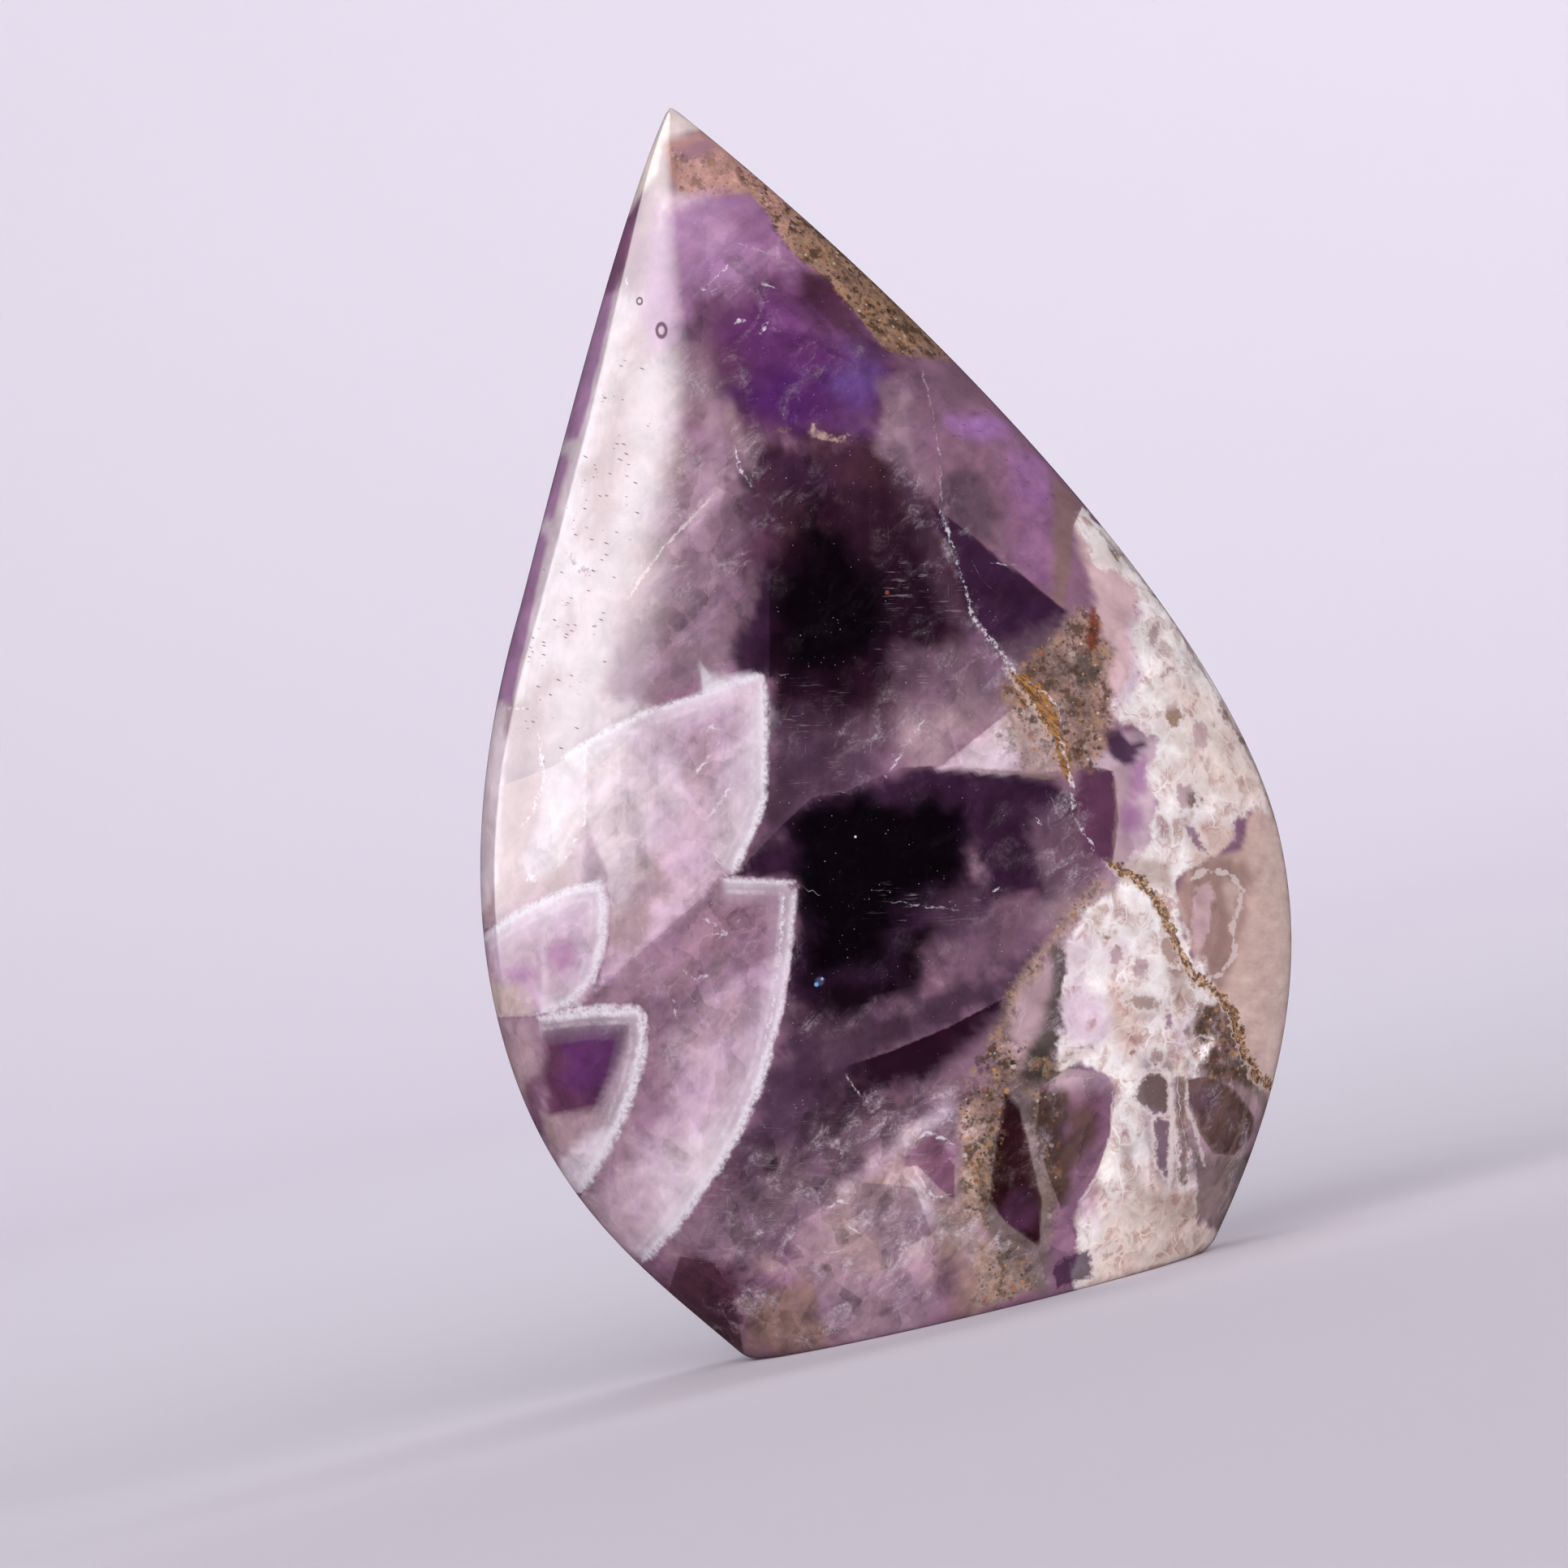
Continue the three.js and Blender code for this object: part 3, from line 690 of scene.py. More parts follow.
# Where each kind of texture shows: the size in millimetres of the islands that it gathers in, or 0 where it
# is even, and its patches of strength, fade and shape.
TEXTURES = {
    # Splinters and smears of light and dark.
    "mottle": (0, [
        (0.7, 40, area(
            (830, 240), (1000, 300), (1110, 430), (1300, 600), (1300, 760), (1240, 860), (1330, 1000),
            (1330, 1100), (1250, 1280), (1200, 1400), (1220, 1600), (1000, 1680), (800, 1600), (600, 1350),
            (600, 1100), (740, 900), (800, 700))),
        (1.7, 50, area((860, 1480), (1000, 1340), (1210, 1330), (1220, 1600), (1000, 1670), (880, 1660))),
        (1.0, 40, area((840, 480), (960, 520), (950, 800), (800, 850), (780, 740))),
        (1.3, 30, area((800, 1170), (890, 1100), (960, 1120), (900, 1260), (800, 1340))),
        (1.2, 30, area((1235, 1300), (1370, 1320), (1370, 1500), (1290, 1580), (1215, 1540))),
        (1.2, 30, FOOT_MARGIN),
        (0.8, 30, area((820, 180), (960, 220), (1190, 430), (1100, 440), (940, 260))),
    ]),
    # Brown mineral grain.
    "grain": (0, [
        (1.0, 10, FIRST_BLOCKS["matrix_strip"]),
        (0.5, 14, area((818, 180), (905, 186), (950, 225), (915, 240), (838, 238))),
        (0.9, 18, BROWN_VEIN),
        (1.0, 16, SPECKLED_COLUMN),
        (0.8, 20, COLUMN_FOOT),
        (0.7, 16, line(20, *COLUMN_THREAD)),
        (0.8, 16, area((1475, 1240), (1515, 1245), (1550, 1340), (1500, 1335), (1470, 1300))),
        (0.5, 24, area((1225, 905), (1275, 860), (1300, 900), (1310, 950), (1250, 945))),
        (0.6, 14, area((1262, 1300), (1302, 1300), (1306, 1500), (1294, 1540), (1290, 1480), (1262, 1362))),
    ]),
    # The agate's fibres.
    "fibre": (0, [
        (1.0, 24, area(
            (1540, 1045), (1552, 1000), (1620, 990), (1620, 1350), (1562, 1350), (1532, 1290), (1514, 1236),
            (1530, 1180), (1548, 1110))),
    ]),
    # Faint upright bands.
    "strata": (0, [
        (1.0, 60, area((900, 540), (1130, 560), (1230, 800), (1180, 940), (1000, 1000), (900, 900))),
        (0.8, 60, DARK_BLOCK_HAZE),
        (0.7, 60, area(
            (740, 900), (930, 850), (960, 1130), (940, 1300), (830, 1560), (1200, 1600), (1200, 1350),
            (740, 1480))),
        (0.6, 60, LEFT_MIST),
    ]),
    # Short level dashes.
    "dashes": (1.2, [
        (0.8, 24, area((1090, 690), (1190, 695), (1180, 760), (1100, 765))),
        (0.7, 24, area((1085, 770), (1150, 775), (1150, 860), (1085, 860))),
        (0.6, 24, area((960, 840), (1040, 845), (1040, 985), (960, 985))),
        (0.8, 20, area((1230, 675), (1260, 680), (1260, 705), (1225, 705))),
        (0.7, 24, area((1080, 1095), (1200, 1100), (1240, 1130), (1080, 1135))),
        (0.5, 40, area((800, 1400), (1200, 1340), (1150, 1560), (820, 1560))),
    ]),
    # Milky mist and wisps.
    "veil": (2.6, [
        (0.55, 60, area((930, 550), (1180, 640), (1260, 840), (1180, 940), (1000, 980), (945, 900))),
        (0.35, 60, DARK_BLOCK_HAZE),
        (1.4, 26, line(
            30, (900, 1552), (1010, 1500), (1063, 1441), (1117, 1409), (1138, 1393), (1180, 1350))),
        (1.6, 24, line(26, (1120, 1440), (1149, 1500), (1200, 1532))),
        (1.6, 30, line(44, (920, 1560), (1063, 1576), (1149, 1548), (1223, 1524))),
        (1.3, 60, area((860, 1480), (1000, 1380), (1210, 1330), (1220, 1600), (1000, 1670), (880, 1660))),
        (1.8, 14, line(16, (1150, 620), (1172, 690), (1200, 765), (1250, 830))),
        (1.2, 20, line(20, (1105, 575), (1135, 600), (1158, 630))),
        (1.0, 24, line(24, (905, 592), (860, 642), (795, 730), (765, 778))),
        (1.3, 20, line(20, (900, 520), (905, 560), (925, 590))),
        (1.2, 24, line(30, (1000, 1262), (1020, 1290), (1060, 1330), (1085, 1390))),
        (0.9, 30, line(30, (850, 370), (905, 320), (960, 300))),
        (0.8, 30, line(24, (845, 440), (860, 470), (880, 500))),
        (1.2, 30, area((1235, 1330), (1300, 1310), (1300, 1500), (1290, 1580), (1215, 1540), (1250, 1480))),
        (1.0, 30, FOOT_MARGIN),
        (1.0, 30, area((1370, 1080), (1310, 1140), (1240, 1240), (1240, 1290), (1310, 1320), (1320, 1170))),
        (0.8, 40, area((1235, 800), (1310, 770), (1350, 1080), (1290, 1120), (1270, 900))),
        (1.0, 40, area((900, 545), (960, 540), (950, 700), (905, 700))),
        (0.8, 60, area((1000, 860), (1180, 820), (1240, 860), (1120, 950), (990, 985))),
        (0.7, 40, area((740, 900), (930, 850), (930, 1030), (800, 1160), (700, 1100))),
        (0.6, 40, area((740, 1220), (960, 1110), (940, 1300), (830, 1500), (740, 1480))),
        (0.9, 40, LEFT_MIST),
        (0.4, 40, area((830, 250), (1000, 330), (1080, 440), (1000, 540), (860, 500))),
        (0.8, 30, area((1090, 560), (1150, 560), (1200, 690), (1180, 840), (1120, 860), (1085, 700))),
    ]),
    # Fine straight growth marks.
    "needles": (2.2, [
        (0.8, 50, area((935, 560), (1150, 640), (1230, 800), (1180, 900), (1000, 960), (945, 900))),
        (0.7, 50, area((985, 1000), (1200, 960), (1330, 980), (1330, 1100), (1200, 1250), (985, 1290))),
        (1.0, 50, area((900, 1450), (1200, 1300), (1220, 1580), (1000, 1620), (830, 1560))),
        (0.9, 40, area(
            (760, 860), (930, 850), (930, 1030), (960, 1120), (940, 1300), (830, 1500), (740, 1480))),
    ]),
    # Tiny white dots.
    "glitter": (2.5, [
        (0.7, 60, area(
            (850, 250), (1100, 440), (1250, 800), (1330, 1100), (1200, 1580), (850, 1560), (850, 800))),
        (0.6, 40, area((600, 880), (760, 900), (760, 1450), (640, 1350))),
        (0.8, 40, area((1230, 1300), (1320, 1300), (1500, 1240), (1560, 1340), (1480, 1540), (1240, 1590))),
    ]),
    # Pits that the polish never reached.
    "pits": (1.6, [
        (1.8, 30, area(
            (745, 440), (810, 470), (790, 640), (740, 800), (690, 960), (630, 900), (650, 760), (700, 640))),
        (1.2, 30, area((1160, 460), (1230, 480), (1300, 580), (1300, 720), (1180, 640))),
    ]),
}

# Ring shaped pits: place and half sizes. Glints: place, half size and colour.
RING_PITS = [(815, 407, 7, 10), (788, 371, 4, 5)]
GLINTS = [
    (1010, 1209, 6, (72, 66, 96)), (1006, 1213, 3, (104, 160, 216)), (1013, 1206, 2, (150, 170, 220)),
    (1054, 1031, 1.6, (226, 220, 232)),
    (1093, 730, 3, (120, 66, 50)),
]

# Drawn lines, in families that share one finish: each line's width in pixels and the pixels on its way.
LINES = {
    # White outlines of the chevrons, with their inner side on the left of the way along.
    "frost": [
        (9, [(901, 1078), (927, 1025), (941, 985), (942, 900), (940, 830)]),
        (7, [(940, 829), (870, 854), (790, 880), (745, 903), (690, 936)]),
        (5, [(983, 1087), (940, 1085), (885, 1083)]),
        (12, [(790, 1556), (834, 1508), (873, 1453), (908, 1398), (938, 1328), (958, 1260)]),
        (6, [(950, 1290), (962, 1244), (972, 1180), (980, 1092)]),
        (10, [
            (665, 1248), (700, 1236), (730, 1204), (742, 1160), (743, 1110), (738, 1090), (705, 1096),
            (650, 1120), (612, 1142), (590, 1162)]),
        (13, [
            (712, 1470), (731, 1440), (760, 1390), (780, 1340), (792, 1290), (792, 1254), (780, 1244),
            (720, 1246), (660, 1254)]),
    ],
    # Amber glass that fills the widest gap of the vein.
    "amber": [
        (24, [(1250, 832), (1272, 856), (1292, 880), (1308, 912)]),
        (15, [(1304, 900), (1312, 930), (1319, 966)]),
    ],
    # Thin pale healed cracks and flecks, and the painted silvery edges and glint of the window's highlight.
    "silver": [
        (4, [(1158, 625), (1172, 670), (1186, 712), (1200, 762), (1232, 802), (1256, 838)]),
        (1.2, [(1135, 450), (1145, 490), (1152, 525), (1158, 560), (1160, 625)]),
        (2.5, [(1084, 966), (1105, 938), (1125, 905), (1142, 882)]),
        (3, [(1122, 1412), (1142, 1394), (1180, 1412)]),
        (3, [(1177, 1470), (1150, 1476), (1126, 1440)]),
        (3, [(868, 905), (880, 890), (896, 880)]),
        (3, [(850, 962), (864, 944), (880, 925), (890, 905)]),
        (2.5, [(905, 960), (890, 985), (870, 1012)]),
        (3, [(838, 1195), (858, 1206), (878, 1200)]),
        (3, [(828, 1228), (835, 1256)]),
        (2, [(860, 1128), (905, 1152)]),
        (2, [(880, 1162), (930, 1118)]),
        (2, [(1040, 1320), (1085, 1390)]),
        (3, [(904, 545), (912, 580), (930, 602)]),
        (2.5, [(1262, 838), (1286, 852), (1304, 872), (1311, 902)]),
        (3, [(1082, 1380), (1092, 1386)]),
        (3, [(1016, 1490), (1034, 1480), (1050, 1484)]),
        (3, [(1040, 1508), (1062, 1520)]),
        (2, [(1000, 1545), (1046, 1540)]),
        (3, [(967, 1098), (961, 1180), (952, 1245), (940, 1292)]),
        (3, [(618, 872), (650, 872)]),
        # Painted reflection: the silvery crinkled edges and bright foot of the window's highlight on the
        # lower left flank.
        (4, [(662, 900), (671, 960), (657, 1000), (640, 1022)]),
        (3, [(722, 905), (720, 1010), (702, 1052), (680, 1076)]),
        (10, [(662, 1080), (648, 1086)]),
        (3.5, [(862, 360), (872, 350), (880, 345)]),
        (4, [(903, 400), (911, 396), (920, 393)]),
        (5, [(938, 412), (941, 402), (946, 394)]),
        (4, [(1276, 1006), (1280, 1011), (1283, 1017)]),
        # A painted glint.
        (4, [(1222, 1098), (1230, 1095), (1236, 1098)]),
        (3, [(905, 299), (925, 303), (945, 314)]),
        (3, [(853, 367), (872, 352), (905, 320)]),
        (3, [(858, 352), (880, 364)]),
        (3, [(935, 347), (960, 357)]),
        (2, [(770, 340), (774, 348), (770, 356)]),
        (2.5, [(1220, 693), (1245, 697)]),
        (1.2, [(1085, 1108), (1135, 1116), (1190, 1122)]),
        (5, [(1304, 905), (1316, 940), (1322, 975), (1322, 1005)]),
        (2, [(1322, 1005), (1345, 1040), (1352, 1058)]),
    ],
    # Brown open cracks.
    "crack": [
        (12, [
            (1360, 1058), (1385, 1075), (1408, 1088), (1425, 1110), (1440, 1140), (1458, 1180), (1478, 1208),
            (1505, 1228), (1522, 1250), (1530, 1290), (1548, 1325), (1572, 1345)]),
        (4, [(1240, 822), (1262, 852), (1282, 880), (1300, 912)]),
    ],
    # Brown stains: the thin dark line inside the right outline, and edges of the dark block and the agate.
    "stain": [
        (4, [
            (1340, 640), (1380, 682), (1440, 755), (1500, 858), (1545, 940), (1580, 1030), (1592, 1110),
            (1594, 1200), (1586, 1290)]),
        (4, [(1372, 950), (1376, 1000), (1372, 1050)]),
        (3, [(1180, 946), (1250, 952), (1312, 962)]),
        (3, [(1468, 1340), (1478, 1390), (1500, 1424)]),
        (4, [(1545, 1330), (1530, 1390), (1500, 1450)]),
    ],
    # Pale rims of the cells in the lace.
    "rim": [
        (3.5, [(884, 604), (850, 640), (820, 672), (795, 705), (772, 740)]),
        (6, [(1302, 1320), (1310, 1292), (1340, 1296), (1302, 1320)]),
        (7, [(1395, 1345), (1405, 1322), (1425, 1312), (1440, 1325), (1445, 1400), (1440, 1470)]),
        (5, [(1463, 1330), (1462, 1360), (1475, 1400), (1485, 1440)]),
        (4, [(1345, 1560), (1360, 1540), (1385, 1525)]),
        (3, [(1372, 1335), (1368, 1400), (1354, 1446), (1330, 1482)]),
        (4, [(1450, 1290), (1478, 1276), (1500, 1280)]),
        (6, [
            (1464, 1086), (1486, 1072), (1514, 1076), (1532, 1096), (1526, 1122), (1518, 1140), (1522, 1172),
            (1506, 1202), (1486, 1204)]),
    ],
}


def bezier(start, pull_start, pull_end, end, steps=300):
    """Points along a cubic curve, in millimetres."""
    t = np.linspace(0, 1, steps)[:, None]
    start, pull_start, pull_end, end = (np.array(p, float) for p in (start, pull_start, pull_end, end))
    curve = (1 - t) ** 3 * start + 3 * (1 - t) ** 2 * t * pull_start
    return curve + 3 * (1 - t) * t**2 * pull_end + t**3 * end


def through(points, steps=60):
    """Points along the smooth curve through the given ones, evened as in the stone's own source."""
    points = np.array(points, float)
    padded = np.vstack([2 * points[0] - points[1], points, 2 * points[-1] - points[-2]])
    t = np.linspace(0, 1, steps)[:, None]
    pieces = []
    for a, b, c, d in zip(padded, padded[1:], padded[2:], padded[3:]):
        bend = (2 * a - 5 * b + 4 * c - d) * t**2
        twist = (3 * b - a - 3 * c + d) * t**3
        pieces.append(0.5 * (2 * b + (c - a) * t + bend + twist))
    return np.vstack(pieces)


# The stone's outline and dome, as in its source, in millimetres.
BELLY_Z = 27.2
HALF_WIDTH = 27.93
TIP = (-1.45, 86.2)
SHOULDER = (-19.92, 54.3)
RIGHT_FOOT = 16.46
LEFT_FOOT = -16.42
RIGHT_SIDE = np.vstack([
    bezier((RIGHT_FOOT, 0), (21.4, 6.0), (HALF_WIDTH, 15.3), (HALF_WIDTH, BELLY_Z)),
    bezier((HALF_WIDTH, BELLY_Z), (HALF_WIDTH, 43.2), (10.7, 70.8), TIP),
])
LEFT_SIDE = np.vstack([
    bezier((LEFT_FOOT, 0), (-21.9, 7.6), (-HALF_WIDTH, 14.1), (-HALF_WIDTH, BELLY_Z)),
    bezier((-HALF_WIDTH, BELLY_Z), (-HALF_WIDTH, 38.2), (-23.4, 48.1), SHOULDER),
    bezier(SHOULDER, (-17.97, 57.8), (-6.8, 79.7), TIP),
])
# How far the broad faces stand from the middle plane at some heights.
DOME = through([
    (0, 9.9), (12, 11.3), (26, 12.0), (42, 11.4), (56, 10.0), (66, 8.1), (75, 4.9), (82, 1.9), (86.2, 0.3),
])
# How sharply the two faces meet at the rim: 1 would make each section an ellipse.
EDGE_POWER = 1.2
BASE_FLAT_RINGS = 12
BEVEL_RINGS = 5
TIP_RINGS = 4


def level_table(settings):
    """The height and the share of the full section at each ring of the sphere, from the base up."""
    top = HIGH.z / MM
    bevel = settings.base_bevel / MM
    rounding = settings.tip_rounding / MM
    side_rings = settings.levels - BASE_FLAT_RINGS - BEVEL_RINGS - TIP_RINGS
    flat_edge = 1 - bevel / RIGHT_FOOT
    levels = [(0.0, flat_edge * i / BASE_FLAT_RINGS) for i in range(BASE_FLAT_RINGS)]
    for i in range(BEVEL_RINGS):
        turn = i / BEVEL_RINGS * math.pi / 2
        levels.append((bevel * (1 - math.cos(turn)), 1 - bevel * (1 - math.sin(turn)) / RIGHT_FOOT))
    for height in np.linspace(bevel, top - rounding, side_rings + 1):
        levels.append((height, 1.0))
    for i in range(1, TIP_RINGS + 1):
        turn = i / TIP_RINGS * math.pi / 2
        levels.append((top - rounding + rounding * math.sin(turn), math.cos(turn)))
    return np.array(levels)


def stone_form(unit, settings):
    """Carries the points of the unit sphere onto the polished stone, in millimetres."""
    levels = level_table(settings)
    ring = np.arccos(np.clip(-unit[:, 2], -1, 1)) / math.pi * (len(levels) - 1)
    height = np.interp(ring, np.arange(len(levels)), levels[:, 0])
    share = np.interp(ring, np.arange(len(levels)), levels[:, 1])
    turn = np.mod(np.arctan2(unit[:, 1], unit[:, 0]), 2 * math.pi) / (2 * math.pi)
    back_share = 1 - FRONT_SHARE
    on_front = math.pi + (turn - back_share) / FRONT_SHARE * math.pi
    angle = np.where(turn < back_share, turn / back_share * math.pi, on_front)
    cos, sin = np.cos(angle), np.sin(angle)
    right = np.interp(height, RIGHT_SIDE[:, 1], RIGHT_SIDE[:, 0])
    left = np.interp(height, LEFT_SIDE[:, 1], LEFT_SIDE[:, 0])
    depth = np.interp(height, DOME[:, 0], DOME[:, 1]) * np.sign(sin) * np.abs(sin) ** EDGE_POWER
    return np.column_stack([(right + left) / 2 + share * (right - left) / 2 * cos, share * depth, height])


# The pattern leans through the stone by this many pixels to the side and down for each millimetre behind
# the middle plane.
LEAN_ACROSS = 7.0
LEAN_DOWN = 5.0


def on_picture(points):
    """Where points of the stone, in millimetres, fall on the picture, in pixels."""
    side = points[:, 0] - PICTURE_CENTRE_X
    up = points[:, 2] - PICTURE_CENTRE_Z
    depth = points[:, 1]
    scale = PIXELS_PER_MM * CAMERA_DISTANCE / (CAMERA_DISTANCE + np.minimum(depth, 0))
    across = PICTURE_MIDDLE + scale * (side * math.cos(ROLL) - up * math.sin(ROLL))
    down = PICTURE_MIDDLE - scale * (side * math.sin(ROLL) + up * math.cos(ROLL))
    behind = np.maximum(depth, 0)
    return across + LEAN_ACROSS * behind, down + LEAN_DOWN * behind


def field(points, size, seed, detail=4):
    """Smooth noise over the stone, about -1 to 1, with features of some size in millimetres."""
    shift = Vector((seed * 17.3, seed * 5.1, seed * 9.7))
    values = [noise.fractal(Vector(p) / size + shift, 0.8, 2.1, detail) for p in points.tolist()]
    return np.array(values)


def step(value, low, high):
    """Rises smoothly from 0 at low to 1 at high."""
    t = np.clip((value - low) / (high - low), 0, 1)
    return t * t * (3 - 2 * t)


# Natural edges wander by some pixels, in waves of some millimetres. An edge with this fade has the whole of
# it, a crisper one less, and the softest ones have up to this many times as much. It has this much room past
# a shape's reach.
WANDER = ((7, 3.2), (4, 1.1))
WANDER_FADE = 16
MOST_WANDER = 2.4
WANDER_ROOM = 50
# Pixels from crisp edges and from lines are kept up to this far.
EDGE_REACH = 80.0
# A line is let go between these distances from it, and dies away over this much of each end.
LINE_REACH = (24, 40)
LINE_TAPER = 14.0


class Face:
    """The stone's points as they lie on the picture, with the wandering that natural edges have."""

    def __init__(self, points):
        self.across, self.down = on_picture(points)
        self.wander = 0
        for seed, (pixels, size) in enumerate(WANDER, 1):
            self.wander = self.wander + pixels * field(points, size, seed)

    def amount(self, shape, fade):
        """How much each point belongs to a shape whose edge fades over some pixels."""
        low, high = shape.reach
        margin = fade + WANDER_ROOM
        near = (self.across > low[0] - margin) & (self.across < high[0] + margin)
        near &= (self.down > low[1] - margin) & (self.down < high[1] + margin)
        inside = shape.measure(self.across[near], self.down[near])
        wander = self.wander[near] * min(MOST_WANDER, fade / WANDER_FADE)
        found = np.zeros(len(self.across))
        found[near] = step(inside + wander, -fade / 2, fade / 2)
        return found

    def paint(self, colours, patches, palette):
        """Lays patches of colour over what is there, in their order."""
        for row in patches:
            patch = Patch(*row)
            amount = (self.amount(patch.shape, patch.fade) * patch.cover)[:, None]
            colours += amount * (np.array(getattr(palette, patch.colour)) * patch.light - colours)
        return colours

    def edge(self, shapes):
        """Pixels inside the nearest of some shapes, below zero outside them all."""
        found = np.full(len(self.across), -EDGE_REACH)
        for shape in shapes:
            found = np.maximum(found, shape.measure(self.across, self.down))
        return np.clip(found, -EDGE_REACH, EDGE_REACH)

    def lines(self, routes):
        """Pixels to the left of the nearest route, and that route's width there."""
        nearest = np.full(len(self.across), np.inf)
        offset = np.full(len(self.across), EDGE_REACH)
        width = np.zeros(len(self.across))
        for full_width, route in routes:
            points = np.array(route, float)
            lengths = np.hypot(*(points[1:] - points[:-1]).T)
            total, done = lengths.sum(), 0.0
            for (start, end), length in zip(zip(points[:-1], points[1:]), lengths):
                distance, share, side = distance_to_piece(self.across, self.down, *start, *end)
                closer = distance < nearest
                nearest = np.where(closer, distance, nearest)
                offset = np.where(closer, np.copysign(distance, side), offset)
                along = done + share * length
                end_fade = np.clip(np.minimum(along, total - along) / min(LINE_TAPER, total / 3), 0, 1)
                width = np.where(closer, full_width * end_fade, width)
                done += length
        return np.clip(offset, -EDGE_REACH, EDGE_REACH), width * (1 - step(nearest, *LINE_REACH))


def give_values(mesh, name, values):
    """Keeps one number for each point on the mesh, for the material to read."""
    mesh.attributes.new(name, "FLOAT", "POINT").data.foreach_set("value", values.astype(np.float32))


def give_colours(mesh, name, colours):
    """Keeps one colour for each point on the mesh, for the material to read."""
    whole = np.ones((len(colours), 4), np.float32)
    whole[:, :3] = colours
    mesh.attributes.new(name, "FLOAT_COLOR", "POINT").data.foreach_set("color", whole.ravel())


def give_places(mesh, name, places):
    """Keeps one place for each point on the mesh, for the material to read."""
    kept = mesh.attributes.new(name, "FLOAT_VECTOR", "POINT")
    kept.data.foreach_set("vector", places.astype(np.float32).ravel())


# The crisp cells' own fade in pixels, and how much further than a patch's the lace's edge wanders.
CELL_FADE = 2
LACE_WANDER = 1.6
# Veils and needles fade where the crystal is darker than this, down to this share.
FULL_VEIL_LIGHT = 0.07
LEAST_VEIL = 0.03
# The islands that some textures gather in: the seed of their noise, and the noise at their edge.
ISLAND_SEED = 11
ISLAND_EDGE = (-0.25, 0.3)


def draw_markings(mesh, points, palette):
    """Writes the stone's colours, block edges, textures and lines on the mesh's points."""
    face = Face(points)
    behind = np.maximum(points[:, 1], 0)
    give_places(mesh, "picture_place", np.column_stack([face.across, face.down, behind]))
    ground = np.tile(np.array(palette.mauve), (len(points), 1))
    ground = face.paint(ground, GROUND, palette)
    first = face.paint(ground.copy(), FIRST_PAINT, palette)
    second = face.paint(first.copy(), SECOND_PAINT, palette)
    cell_patches = [(name, CELL_FADE, 1.0, grown(shape), light) for name, light, shape in CELLS]
    cells = face.paint(ground.copy(), cell_patches, palette)
    white = np.array(palette.lace)
    lace_tint = face.paint(np.tile(white, (len(points), 1)), LACE_TINTS, palette) / white
    give_colours(mesh, "ground_colour", ground)
    give_colours(mesh, "first_colour", first)
    give_colours(mesh, "second_colour", second)
    give_colours(mesh, "cell_colour", cells)
    give_colours(mesh, "lace_tint", np.clip(lace_tint, 0, 1))
    give_values(mesh, "first_edge", face.edge(FIRST_BLOCKS.values()))
    give_values(mesh, "second_edge", face.edge(SECOND_BLOCKS.values()))
    give_values(mesh, "cell_edge", face.edge(shape for _, _, shape in CELLS))
    give_values(mesh, "lace_edge", face.edge([LACE_ZONE]) + LACE_WANDER * face.wander)
    lit = np.clip(second.mean(1) / FULL_VEIL_LIGHT, LEAST_VEIL, 1)
    for kind, (island_size, patches) in TEXTURES.items():
        strength = np.zeros(len(points))
        for power, fade, shape in patches:
            strength = np.maximum(strength, power * face.amount(shape, fade))
        if island_size:
            islands = field(points, island_size, ISLAND_SEED + island_size, 2)
            strength = strength * step(islands, *ISLAND_EDGE)
        if kind in ("veil", "needles"):
            strength = strength * lit
        give_values(mesh, kind, strength)
    for name, routes in LINES.items():
        offset, width = face.lines(routes)
        give_values(mesh, name + "_offset", offset)
        give_values(mesh, name + "_width", width)
    return face


# A crack's groove is about this wide in pixels, and has its full depth where the crack is at least as wide.
GROOVE_WIDTH = 6
# The waves that polishing leaves, in millimetres: their length, the heights between which they grow from
# nothing over the flat base, and the depth up to which they fade towards the rim.
WAVE_LENGTH = 9.0
WAVE_SEED = 5
WAVE_START = (1.5, 6)
RIM_DEPTH = 3


def cut_cracks(points, face, settings):
    """Sinks the open cracks into the surface and leaves the faint unevenness of hand polishing."""
    outward = np.sign(points[:, 1])[:, None] * np.array([0.0, 1.0, 0.0])
    offset, width = face.lines(LINES["crack"])
    groove = np.exp(-((offset / GROOVE_WIDTH) ** 2)) * np.clip(width / GROOVE_WIDTH, 0, 1)
    groove = groove * settings.crack_depth / MM
    on_face = np.clip(np.abs(points[:, 1]) / RIM_DEPTH, 0, 1)
    wave = field(points, WAVE_LENGTH, WAVE_SEED, 2) * settings.waviness / MM
    keep_flat = step(points[:, 2], *WAVE_START)
    return points + outward * ((wave * keep_flat - groove) * on_face)[:, None]


